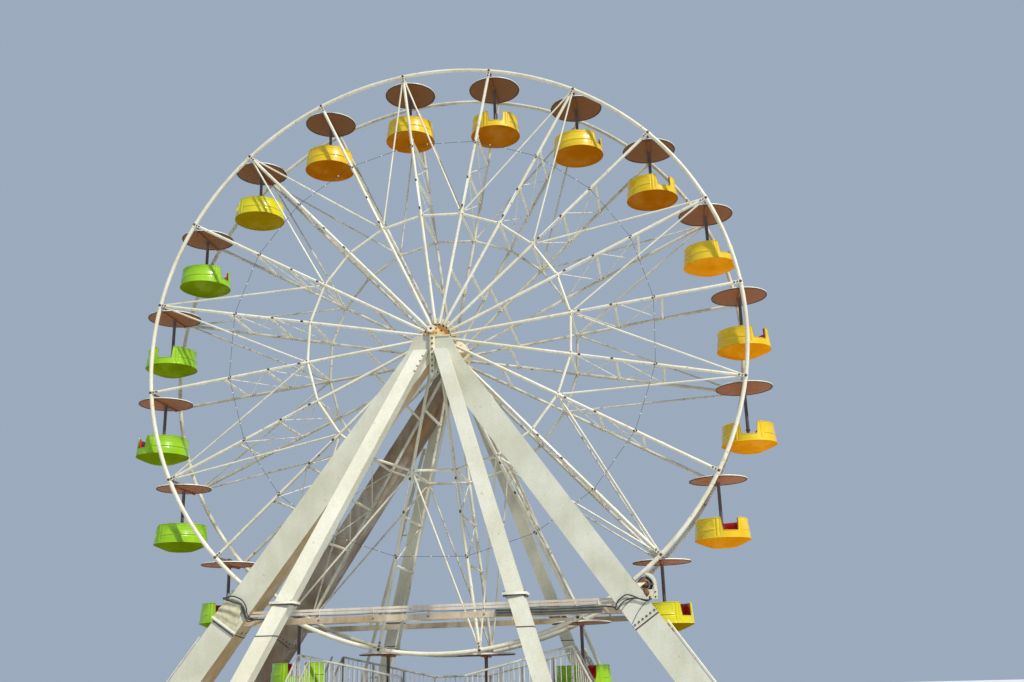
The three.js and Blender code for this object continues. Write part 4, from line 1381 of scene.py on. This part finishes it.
class FERRIS_OT_gondolas(Dresser, Operator):
    """Makes the tubs, the seats, the canopies and the posts of all gondolas"""

    bl_idname = "ferris_wheel.gondolas"
    bl_label = "Gondolas"

    def execute(self, context):
        g = self.sizes(context, "gondola")
        bowl_mesh, wall_mesh = [form.mesh() for form in tub_forms(g)]
        bench_mesh = bench_form(g).finished("red")
        canopy = canopy_meshes(g)
        hanger = hanger_meshes(g)
        for number, (label, axle) in enumerate(zip(LABELS, AXLES), start=1):
            name = f"gondola_{label}"
            move = Matrix.Translation(axle)
            turn = math.radians(TUB_TURNS[number]) if number in TUB_TURNS else g.common_turn
            turned = move @ Matrix.Rotation(turn, 4, "Z")
            colour = "lime" if number in LIME_STATIONS else "yellow"
            tone = "lemon" if number in LEMON_STATIONS else colour
            bowl, wall = placed(bowl_mesh, turned), placed(wall_mesh, turned)
            # Painted shade: each bowl takes a darker copy of its moulding; the amber bowls are lighter than
            # the rest as painted bounce light from the ground
            bowl.materials.append(finish("amber_bowl" if number in AMBER_BOWLS else f"{tone}_bowl"))
            wall.materials.append(finish(tone))
            build(f"{name}_tub_moulding", [bowl, wall], name, [f"{name}_tub"])
            build(f"{name}_benches", [placed(bench_mesh, turned)], name)
            build(f"{name}_canopy_disc", [placed(mesh, move) for mesh in canopy], name,
                  [f"{name}_canopy"])
            build(f"{name}_hanger", [placed(mesh, move) for mesh in hanger], name)
        return {"FINISHED"}


class FERRIS_OT_tower(Dresser, Operator):
    """Paints the tower and adds its splices, gussets, anchor bolts, head joints and pillow blocks"""

    bl_idname = "ferris_wheel.tower"
    bl_label = "Tower"

    PAINTS = {"rear_left_main_leg": "leg_rear", "rear_right_main_leg": "leg_rear", "main_leg": "leg",
              "raker": "raker", "tie_beam": "tie", "loading_deck": "deck", "drive_bracket": "drive"}
    LEG_SPLICE = 2.78
    COVERED_SPLICE = 2.98
    RAKER_SEAM = 2.6
    RAKER_JOINT = 3.32

    def execute(self, context):
        self.bolt = self.sizes(context, "tower").bolt
        for name, node in frame["nodes"].items():
            paint = next((paint for end, paint in self.PAINTS.items() if name.endswith(end)), None)
            if paint:
                self.repaint(name, node.data, paint)
        for name, leg in LEGS.items():
            self.leg(name, leg)
        for name, raker in RAKERS.items():
            self.raker(name, raker)
        for name, end in (("front", -1), ("rear", 1)):
            self.head(name, end)
            self.bearing(name)
        return {"FINISHED"}

    def repaint(self, name, mesh, paint):
        """Paints a node; a tie beam's pipes and the front legs' inner sides have tones of their own."""
        mesh.materials.clear()
        mesh.materials.append(finish(paint))
        if paint == "tie":
            mesh.materials.append(finish("pipe"))
            chord_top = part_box(name)[0].z + 0.155
            for face in mesh.polygons:
                face.material_index = int(face.center.z > chord_top)
        if paint == "leg":
            mesh.materials.append(finish("leg_inner"))
            outer = LEGS[name.removesuffix("_main_leg")].outer()
            for face in mesh.polygons:
                face.material_index = int(face.normal.dot(outer) < -0.9)

    def leg(self, name, leg):
        plates, spots, shadow_and_seam_bands = Shape(), Spots(), Shape()
        front, outer = leg.front(), leg.outer()
        covered = name == "front_left"
        height = self.COVERED_SPLICE if covered else self.LEG_SPLICE
        # The dark collar under the plates is partly the splice's seam and partly painted shadow under the
        # plates
        self.collar(shadow_and_seam_bands, leg, height - 0.012, 0.008, 0.028)
        self.collar(plates, leg, height + 0.012, 0.014, 0.02)
        for across in (-0.42, -0.25, -0.08, 0.09, 0.26, 0.43):
            if not covered:
                spots.add(leg.at(height + 0.07, across, 0), front)
            spots.add(leg.at(height + 0.07, across, 1), -front)
        for depth in (0.15, 0.5, 0.85):
            for across, sign in ((0.5, 1), (-0.5, -1)):
                spots.add(leg.at(height + 0.07, across, depth), outer * sign)
        # Base gussets and anchor bolts
        for across in (-0.3, 0.0, 0.3):
            for depth, face in ((0.0, front), (1.0, -front)):
                flat = Vector((face.x, face.y, 0)).normalized()
                plates.plate([(0, 0), (0.1, 0), (0.1, 0.03), (0.02, 0.3), (0, 0.3)], 0.016,
                             aim(leg.on_base(across, depth) - flat * 0.01, flat.cross(UP), flat))
        feet = [leg.on_base(a, d) for a in (-0.5, 0.5) for d in (0, 1)]
        x0, x1 = min(p.x for p in feet) - 0.06, max(p.x for p in feet) + 0.06
        y0, y1 = min(p.y for p in feet) - 0.06, max(p.y for p in feet) + 0.06
        for x in (x0, (x0 + x1) / 2, x1):
            for y in (y0, y1):
                spots.add((x, y, BASE_TOP), UP)
        parts = [plates.finished("leg" if leg.end > 0 else "leg_rear"), shadow_and_seam_bands.finished("dark"),
                 bolts(spots, self.bolt)]
        build(f"{name}_leg_fittings", parts, "tower")

    def collar(self, shape, leg, height, width, thickness):
        """A frame of flat bars round a main leg."""
        front, outer, down = leg.front(), leg.outer(), leg.down()
        for depth, sign in ((0.0, 1), (1.0, -1)):
            middle = leg.at(height, 0, depth) + front * (sign * width / 2)
            shape.block((leg.WIDTH + 2 * width, width, thickness), aim(middle, down, outer))
        for across, sign in ((0.5, 1), (-0.5, -1)):
            a, b = leg.at(height, across, 0), leg.at(height, across, 1)
            middle = (a + b) / 2 + outer * (sign * width / 2)
            shape.block(((a - b).length, width, thickness), aim(middle, down, a - b))

    def raker(self, name, raker):
        plates, shadow_and_seam_bands, rim, spots = Shape(), Shape(), Shape(), Spots()
        joint = raker.at(self.RAKER_JOINT)
        # Painted shadow: a dark slab under the joint's rim stands in for the shadow that the rim casts; the
        # thin band lower down is the splice's seam
        shadow_and_seam_bands.block((0.5, 0.53, 0.03), Matrix.Translation(joint - UP * 0.036), 0.03)
        rim.block((0.536, 0.566, 0.056), Matrix.Translation(joint + UP * 0.004), 0.01)
        for dx in (-0.225, 0.225):
            for dy in (-0.24, 0.24):
                spots.add(joint + Vector((dx, dy, 0.032)), UP)
                spots.add(joint + Vector((dx, dy, -0.051)), -UP)
        lean = raker.along / abs(raker.along.z)
        spread = raker.size / 2 + 0.004
        corners = []
        for rise in (0.012, -0.012):
            corners += [raker.at(self.RAKER_SEAM) - lean * rise + raker.level(x, y) * spread
                        for x, y in ((-1, -1), (1, -1), (1, 1), (-1, 1))]
        shadow_and_seam_bands.add(corners, [[3, 2, 1, 0], [4, 5, 6, 7], [0, 1, 5, 4], [1, 2, 6, 5], [2, 3, 7, 6],
                            [3, 0, 4, 7]])
        if name == "front_left":
            for height in (9.87, 9.71, 9.55, 9.39):
                spots.add(raker.at(height, -0.5, 0.43), -raker.across)
        foot = raker.at(BASE_TOP)
        for sign in (-1, 1):
            for shift in (-0.12, 0.12):
                plates.plate([(0.15, 0), (0.27, 0), (0.27, 0.03), (0.17, 0.28), (0.11, 0.28)], 0.014,
                             aim(foot + RIGHT * shift, RIGHT * sign, REAR * sign))
        for dx in (-0.235, 0.0, 0.235):
            for dy in (-0.235, 0.235):
                spots.add((raker.foot.x + dx, raker.foot.y + dy, BASE_TOP), UP)
        parts = [plates.finished("raker"), shadow_and_seam_bands.finished("dark"), rim.finished("joint"), bolts(spots, 0.032)]
        build(f"{name}_raker_fittings", parts, "tower")

    def head(self, name, end):
        """The bolted strip over the seam between the two halves of a head."""
        plates, spots = Shape(), Spots()
        face = HUB.y + end * HEAD_FACE
        plates.block((0.14, 0.11, 1.13), Matrix.Translation((0.03, face + end * 0.055, 9.975)), 0.012)
        for i in range(7):
            spots.add((0.035, face + end * 0.11, 10.44 - 0.155 * i), REAR * end)
        plates.block((0.42, 0.03, 0.03), Matrix.Translation((0.3, face + end * 0.012, 10.52)), 0.01)
        build(f"{name}_head_joint", [plates.finished("head"), bolts(spots, 0.036)], "tower")

    def bearing(self, name):
        """A pillow block in place of the plain block."""
        low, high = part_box(f"{name}_bearing")
        depth = high.y - low.y
        middle = Vector((0, (low.y + high.y) / 2, HUB.z))
        base, cap, spots = Shape(), Shape(), Spots()
        base.block((high.x - low.x, depth, 0.045), Matrix.Translation((0, middle.y, low.z + 0.0225)), 0.02)
        base.turned(both_ways([(0.091, depth * 0.42), (0.16, depth * 0.42), (0.168, depth * 0.36)]),
                    aim(middle, REAR), 40, closed=True)
        for side in (-1, 1):
            base.plate([(side * 0.1, low.z + 0.04), (side * 0.215, low.z + 0.04), (side * 0.205, low.z + 0.1),
                        (side * 0.16, HUB.z - 0.02), (side * 0.118, HUB.z + 0.02)][::side], depth * 0.72,
                       upright_plane(0, middle.y, 0))
            for y in (-0.1, 0.1):
                spots.add((side * 0.195, middle.y + y, low.z + 0.045), UP)
            cap.ring_plate(0.15, 0.092, 0.02, aim(middle + REAR * (side * depth * 0.43), REAR), 32)
            spots.circle(aim(middle + REAR * (side * (depth * 0.43 + 0.01)), REAR * side), 0.132, 6)
        build(f"{name}_pillow_block", [base.finished("head"), cap.finished("hub"), bolts(spots, 0.026)],
              "tower", [f"{name}_bearing"])


class FERRIS_OT_wiring(Dresser, Operator):
    """Adds the cables and clips of the front tie beam, and the loops, covers and pipes of the front legs"""

    bl_idname = "ferris_wheel.wiring"
    bl_label = "Wiring"

    # Middle lines of the cables on the front of each leg, by height and place across
    RIGHT_THICK = (
        ((3.34, -0.6), (3.407, -0.391), (3.408, -0.05), (3.322, 0.116), (3.253, 0.188), (3.1, 0.367),
         (3.054, 0.5), (3.1, 0.62)),
        ((3.29, -0.6), (3.32, -0.402), (3.326, -0.166), (3.283, 0.06), (3.203, 0.233), (3.058, 0.482),
         (3.05, 0.62)),
    )
    RIGHT_THIN = (
        ((3.071, 0.42), (3.02, 0.0), (2.9, -0.47)),
        ((3.253, 0.19), (3.27, -0.2), (3.22, -0.52)),
    )
    LEFT_THICK = (
        ((3.44, 0.68), (3.478, 0.6), (3.581, 0.425), (3.626, 0.16), (3.626, -0.041), (3.572, -0.266),
         (3.478, -0.451), (3.445, -0.64)),
        ((3.43, 0.64), (3.456, 0.564), (3.498, 0.247), (3.546, -0.035), (3.51, -0.234), (3.429, -0.474),
         (3.41, -0.64)),
        ((3.53, -0.1), (3.45, -0.32), (3.38, -0.55), (3.37, -0.68)),
    )

    def execute(self, context):
        thick, thin, conduit, duct = Lines(), Lines(), Lines(), Lines()
        clips, cover, ridge, spots = Shape(), Shape(), Shape(), Spots()
        low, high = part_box("front_tie_beam")
        y = (low.y + high.y) / 2

        def beside(x, out, rise):
            """A place just before the front of the tie beam."""
            return Vector((x, low.y - out, low.z + rise))

        reach, bays = 4.2, 6
        for i in range(bays + 1):
            x = -reach + 2 * reach * i / bays
            clips.block((0.03, 0.09, 0.2), Matrix.Translation((x, y, low.z + 0.22)), 0.006)
            spots.add(beside(x, 0, 0.075), FRONT)
            if i < bays:
                thin.add(*[beside(x + 2 * reach / bays * i / 8, -0.02, 0.205 - hang(i / 8, 0.02))
                           for i in range(9)])
        for rise, out in ((0.17, 0.03), (0.115, 0.035), (0.05, 0.03)):
            duct.add(beside(1.7, out, rise), beside(3.2, out, rise - 0.02), beside(4.3, out, rise - 0.01))
        right, left = LEGS["front_right"], LEGS["front_left"]
        # Cables from the tie beam over the right leg to the drive, and round the left leg
        for line in self.RIGHT_THICK:
            thick.add(*smooth([beside(4.3, 0.02, 0.16), beside(4.55, 0.1, 0.13),
                               *[right.at(h, a, 0, 0.05) for h, a in line]]))
        for line in self.RIGHT_THIN:
            thin.add(*smooth([right.at(h, a, 0, 0.02) for h, a in line]))
        for line in self.LEFT_THICK:
            thick.add(*smooth([*[left.at(h, a, 0, 0.055) for h, a in line],
                               beside(-4.42, 0.08, 0.15), beside(-4.2, 0.02, 0.16)]))
        # Folded cover sheet and its ridge over the left splice
        self.sheet(cover, left)
        ridge.block((0.76, 0.075, 0.05), aim(left.at(3.03, 0.03, 0, 0.034), left.down(), left.outer()))
        # Pipes down the outer side of both legs
        for leg in (right, left):
            outer = leg.outer()
            for depth, out in ((0.12, 0.07), (0.3, 0.05)):
                conduit.add(*[leg.at(h, 0.5, depth) + outer * out for h in (2.55, 1.6, 0.5, 0.16)])
            for h in (2.4, 1.7, 1.0, 0.4):
                clips.block((0.05, 0.26, 0.02), aim(leg.at(h, 0.5, 0.21) + outer * 0.03, leg.down(), outer),
                            0.004)
        parts = [tubes(thick, 0.032, "cable", 8), tubes(thin, 0.014, "cable", 6),
                 tubes(conduit, 0.035, "drive", 8), tubes(duct, 0.05, "duct", 8), clips.finished("pipe"),
                 cover.finished("cover"), ridge.finished("joint"), bolts(spots, 0.03)]
        build("front_wiring", parts, "tower")
        return {"FINISHED"}

    def sheet(self, shape, leg, wide=20, tall=26):
        """A thin sheet that lies in folds on the front of a leg, between four places by height and across."""
        corners = ((3.421, 0.555), (3.57, -0.12), (3.05, 0.57), (3.05, -0.48))
        layers = []
        for lift in (0.0, -0.006):
            for j in range(tall + 1):
                v = j / tall
                for i in range(wide + 1):
                    u = i / wide
                    upper = [a + (b - a) * u for a, b in zip(corners[0], corners[1])]
                    lower = [a + (b - a) * u for a, b in zip(corners[2], corners[3])]
                    height, across = [a + (b - a) * v for a, b in zip(upper, lower)]
                    fold = math.sin(2 * math.pi * (2.6 * v + 0.55 * u + 0.12 * math.sin(5 * u)))
                    pucker = 0.3 * math.sin(9 * u + 4 * v)
                    swell = 0.026 * (fold + pucker) * math.sin(math.pi * min(1.0, 0.12 + v)) ** 0.5
                    layers.append(leg.at(height, across, 0, 0.042 + swell + lift))
        row, layer = wide + 1, (wide + 1) * (tall + 1)
        faces = []
        for j in range(tall):
            for i in range(wide):
                a = j * row + i
                faces.append([a, a + 1, a + row + 1, a + row])
                faces.append([layer + a, layer + a + row, layer + a + row + 1, layer + a + 1])
        edge = (list(range(wide)) + [j * row + wide for j in range(tall)]
                + [tall * row + i for i in range(wide, 0, -1)] + [j * row for j in range(tall, 0, -1)])
        for a, b in zip(edge, edge[1:] + edge[:1]):
            faces.append([a, b, layer + b, layer + a])
        shape.add(layers, faces)


class FERRIS_OT_decks(Dresser, Operator):
    """Adds the tread plates, the balusters, the round hand rails and the bolts of the loading decks"""

    bl_idname = "ferris_wheel.decks"
    bl_label = "Loading Decks"

    # Distances forward of the wheel's middle: the floor, the hand rails of the stairs, and the outer rail
    FLOOR = -1.415
    STAIR_RAILS = (-0.905, -1.925)
    OUTER_RAIL = -1.9275

    def execute(self, context):
        t = self.sizes(context, "tower")
        for name, end in (("front", 1), ("rear", -1)):
            self.deck(name, end, t)
        return {"FINISHED"}

    def top(self, x):
        """Height of the floor, which rises to both ends."""
        return 0.56 + 0.62 * max(0.0, (abs(x) - 0.8) / 2.7)

    def deck(self, name, end, t):
        def spot(x, y, z):
            return Vector((x, HUB.y + end * y, z))

        def fence(x0, x1, y, z0, z1, spacing=t.baluster_spacing, height=0.9):
            balusters.append(uprights(spot(x0, y, z0), spot(x1, y, z1), spacing, height, t.baluster, "rail"))

        plate, rails, spots, treads, toe = Shape(), Lines(), Spots(), Shape(), Shape()
        balusters = []
        edges = [-3.5, -2.6, -1.7, -0.8, 0.0, 0.8, 1.7, 2.6, 3.5]
        for a, b in zip(edges, edges[1:]):
            start, stop = spot(a, self.FLOOR, self.top(a)), spot(b, self.FLOOR, self.top(b))
            tilt = (stop - start).normalized()
            plate.block(((stop - start).length - 0.012, 1.05, 0.006),
                        aim((start + stop) / 2 + UP * 0.004, tilt.cross(FRONT), tilt))
            for y in (-1.88, -0.95):
                for share in (0.1, 0.5, 0.9):
                    z = self.top(a) + (self.top(b) - self.top(a)) * share + 0.007
                    spots.add(spot(a + (b - a) * share, y, z), UP)
        for side in (-1, 1):
            y = self.OUTER_RAIL
            fence(side * 0.86, side * 3.44, y, self.top(0.86) + 0.2, self.top(3.44) + 0.2)
            rails.add(spot(side * 0.8, y, self.top(0.8) + t.rail_height),
                      spot(side * 3.48, y, self.top(3.48) + t.rail_height))
            for y in self.STAIR_RAILS:
                fence(side * 3.56, side * 4.02, y, 1.02, 0.12, 0.11, 1.08)
                rails.add(spot(side * 3.48, y, 2.28), spot(side * 4.06, y, 1.1))
            for i in range(1, 5):
                share = i / 5
                x, z = side * (3.5 + 0.56 * share), 1.18 * (1 - share)
                treads.block((0.19, 0.92, 0.006), Matrix.Translation(spot(x, self.FLOOR, z + 0.004)))
                toe.block((0.02, 0.94, 0.05), Matrix.Translation(spot(x + side * 0.1, self.FLOOR, z - 0.02)))
            toe.plate([(0.84, self.top(0.84)), (3.45, self.top(3.45)), (3.45, self.top(3.45) + 0.1),
                       (0.84, self.top(0.84) + 0.1)], 0.006,
                      upright_plane(*spot(0, -1.9, 0)) @ Matrix.Scale(side, 4, RIGHT))
        if name == "rear":
            fence(-0.76, 0.76, self.OUTER_RAIL, 0.76, 0.76)
            rails.add(spot(-0.8, self.OUTER_RAIL, 1.66), spot(0.8, self.OUTER_RAIL, 1.66))
        else:
            for y, z in ((-2.1, 0.377), (-2.4, 0.191)):
                treads.block((1.56, 0.27, 0.006), Matrix.Translation(spot(0, y, z)))
        # Feet of the posts
        feet = Shape()
        for x in (-3.42, -0.8, 0.8, 3.42):
            for y in (-0.96, -1.87):
                feet.block((0.18, 0.14, 0.012), Matrix.Translation(spot(x, y, 0.006)), 0.01)
                for dx in (-0.065, 0.065):
                    spots.add(spot(x + dx, y, 0.012), UP)
        parts = [plate.finished("chequer"), treads.finished("chequer"), tubes(rails, 0.055, "rail", 12),
                 toe.finished("deck"), feet.finished("deck"), bolts(spots, 0.02), *balusters]
        build(f"{name}_deck_fittings", parts, "tower")


class FERRIS_OT_drive(Dresser, Operator):
    """Makes the rubber roller, its motor and guard, and the smaller unit on the left leg"""

    bl_idname = "ferris_wheel.drive"
    bl_label = "Friction Drive"

    # How far before the roller the guard's front stands, and the small unit's place on the wheel's circle
    GUARD_OUT = 0.176
    UNIT_ANGLE = math.radians(-140.5)
    UNIT_RADIUS = 8.79

    def execute(self, context):
        axis = aim(ROLLER, REAR)
        tyre, disc, ring, spots = Shape(), Shape(), Shape(), Spots()
        tyre.turned(both_ways([(0.135, 0.05), (0.165, 0.058), (0.188, 0.058), (0.197, 0.048), (0.2, 0.03)]),
                    axis, 48, closed=True)
        disc.turned(both_ways([(0.0265, 0.05), (0.05, 0.05), (0.055, 0.04), (0.104, 0.036)]),
                    axis, 40, closed=True)
        ring.turned(both_ways([(0.103, 0.055), (0.108, 0.062), (0.134, 0.062), (0.14, 0.054)]),
                    axis, 40, closed=True)
        for side in (-1, 1):
            spots.circle(aim(ROLLER + REAR * (side * 0.038), REAR * side), 0.08, 6)
        build("drive_roller_tyre", [tyre.finished("rubber"), disc.finished("disc"), ring.finished("drive"),
                                    bolts(spots, 0.024)], "drive_roller", ["drive_roller"])
        self.guard()
        self.motor()
        self.left_unit()
        return {"FINISHED"}

    def guard(self):
        """The broad front of the guard at the right of the roller, and the plate that carries the motor."""
        front = ROLLER.y - self.GUARD_OUT
        sheet, spots = Shape(), Spots()
        arc = [math.radians(a) for a in range(84, -11, -8)]
        outer = [polar(0.3, a).xy for a in arc] + [(0.31, -0.2), (0.3, -0.37)]
        inner = [polar(0.225, a).xy for a in arc] + [(0.225, -0.16), (0.2, -0.37)]
        place = upright_plane(ROLLER.x, front, ROLLER.z)
        sheet.plate(outer + inner[::-1], 0.012, place)
        sheet.plate([(-0.24, -0.1), (-0.12, -0.13), (0.2, -0.14), (0.2, -0.37), (-0.08, -0.4), (-0.3, -0.28)],
                    0.012, place)
        for x, z in ((0.25, -0.2), (0.25, -0.32), (0.1, -0.33), (-0.16, -0.28)):
            spots.add((ROLLER.x + x, front - 0.006, ROLLER.z + z), FRONT)
        build("drive_guard_front", [sheet.finished("drive"), bolts(spots, 0.026)], "tower")
        # The arms that hold the roller are darker than the rest of the bracket
        arm = frame["nodes"]["drive_bracket"].data
        arm.materials.append(finish("disc"))
        for face in arm.polygons:
            if abs(face.center.z - ROLLER.z) < 0.075 and face.center.x < ROLLER.x + 0.235:
                face.material_index = 1

    def motor(self):
        """The small motor under the roller, on the plate of the guard."""
        body, fins, spots = Shape(), Shape(), Spots()
        start = ROLLER + Vector((0.01, -0.18, -0.215))
        body.turned([(0, 0), (0.085, 0), (0.088, 0.006), (0.088, 0.02), (0.06, 0.03), (0.06, 0.25),
                     (0.055, 0.27), (0.02, 0.28), (0, 0.28)], aim(start, FRONT), 32)
        for i in range(7):
            fins.ring_plate(0.067, 0.058, 0.008, aim(start + FRONT * (0.06 + 0.027 * i), FRONT), 32)
        spots.circle(aim(start + FRONT * 0.02, FRONT), 0.074, 6)
        build("drive_motor", [body.finished("disc"), fins.finished("disc"), bolts(spots, 0.016)], "tower")

    def left_unit(self):
        """A small roller unit on the left leg, clear of the rim."""
        leg = LEGS["front_left"]
        body, wheel, spots, arm = Shape(), Shape(), Spots(), Lines()
        offset = radial(self.UNIT_ANGLE) * self.UNIT_RADIUS + FRONT * 0.967
        hold = HUB + offset + offset.normalized() * 0.06
        wheel.turned(both_ways([(0, 0.045), (0.06, 0.045), (0.065, 0.03), (0.13, 0.03), (0.14, 0.02)]),
                     aim(hold, REAR), 36)
        body.block((0.14, 0.3, 0.012), aim(hold + FRONT * 0.09, FRONT, RIGHT), 0.03)
        body.block((0.1, 0.1, 0.35), aim(hold + FRONT * 0.22, FRONT, RIGHT), 0.02)
        spots.circle(aim(hold + FRONT * 0.096, FRONT), 0.045, 4)
        for shift, drop, depth in ((FRONT * 0.3, 0.1, 0.5), (Vector((0, -0.12, -0.08)), 0.45, 0.4)):
            arm.add(hold + shift, leg.at(hold.z - drop, -0.5, depth) + leg.outer() * 0.02)
        build("left_guide_unit", [body.finished("grey"), wheel.finished("grey"), tubes(arm, 0.07, "grey"),
                                  bolts(spots, 0.022)], "tower")


class FERRIS_PT_sidebar(Panel):
    """Lists the steps that dress the wheel"""

    bl_idname = "FERRIS_PT_sidebar"
    bl_label = "Ferris Wheel"
    bl_space_type = "VIEW_3D"
    bl_region_type = "UI"
    bl_category = "Ferris Wheel"

    def draw(self, context):
        layout = self.layout
        for operator in OPERATORS:
            layout.operator(operator.bl_idname)
        for name, group in GROUPS.items():
            box = layout.box()
            box.label(text=name.capitalize())
            for prop in group.__annotations__:
                box.prop(getattr(context.scene, f"ferris_wheel_{name}"), prop)


OPERATORS = (
    FERRIS_OT_stage,
    FERRIS_OT_wheel_sides,
    FERRIS_OT_cross_struts,
    FERRIS_OT_lamps,
    FERRIS_OT_hub,
    FERRIS_OT_gondolas,
    FERRIS_OT_tower,
    FERRIS_OT_wiring,
    FERRIS_OT_decks,
    FERRIS_OT_drive,
)


def register():
    for name, group in GROUPS.items():
        bpy.utils.register_class(group)
        setattr(bpy.types.Scene, f"ferris_wheel_{name}", PointerProperty(type=group))
    for cls in (*OPERATORS, FERRIS_PT_sidebar):
        bpy.utils.register_class(cls)


def unregister():
    for cls in (*OPERATORS, FERRIS_PT_sidebar):
        bpy.utils.unregister_class(cls)
    for name, group in GROUPS.items():
        delattr(bpy.types.Scene, f"ferris_wheel_{name}")
        bpy.utils.unregister_class(group)


def main():
    """Dresses the frame."""
    register()
    for operator in OPERATORS:
        space, action = operator.bl_idname.split(".")
        getattr(getattr(bpy.ops, space), action)()


if __name__ == "__main__":
    main()
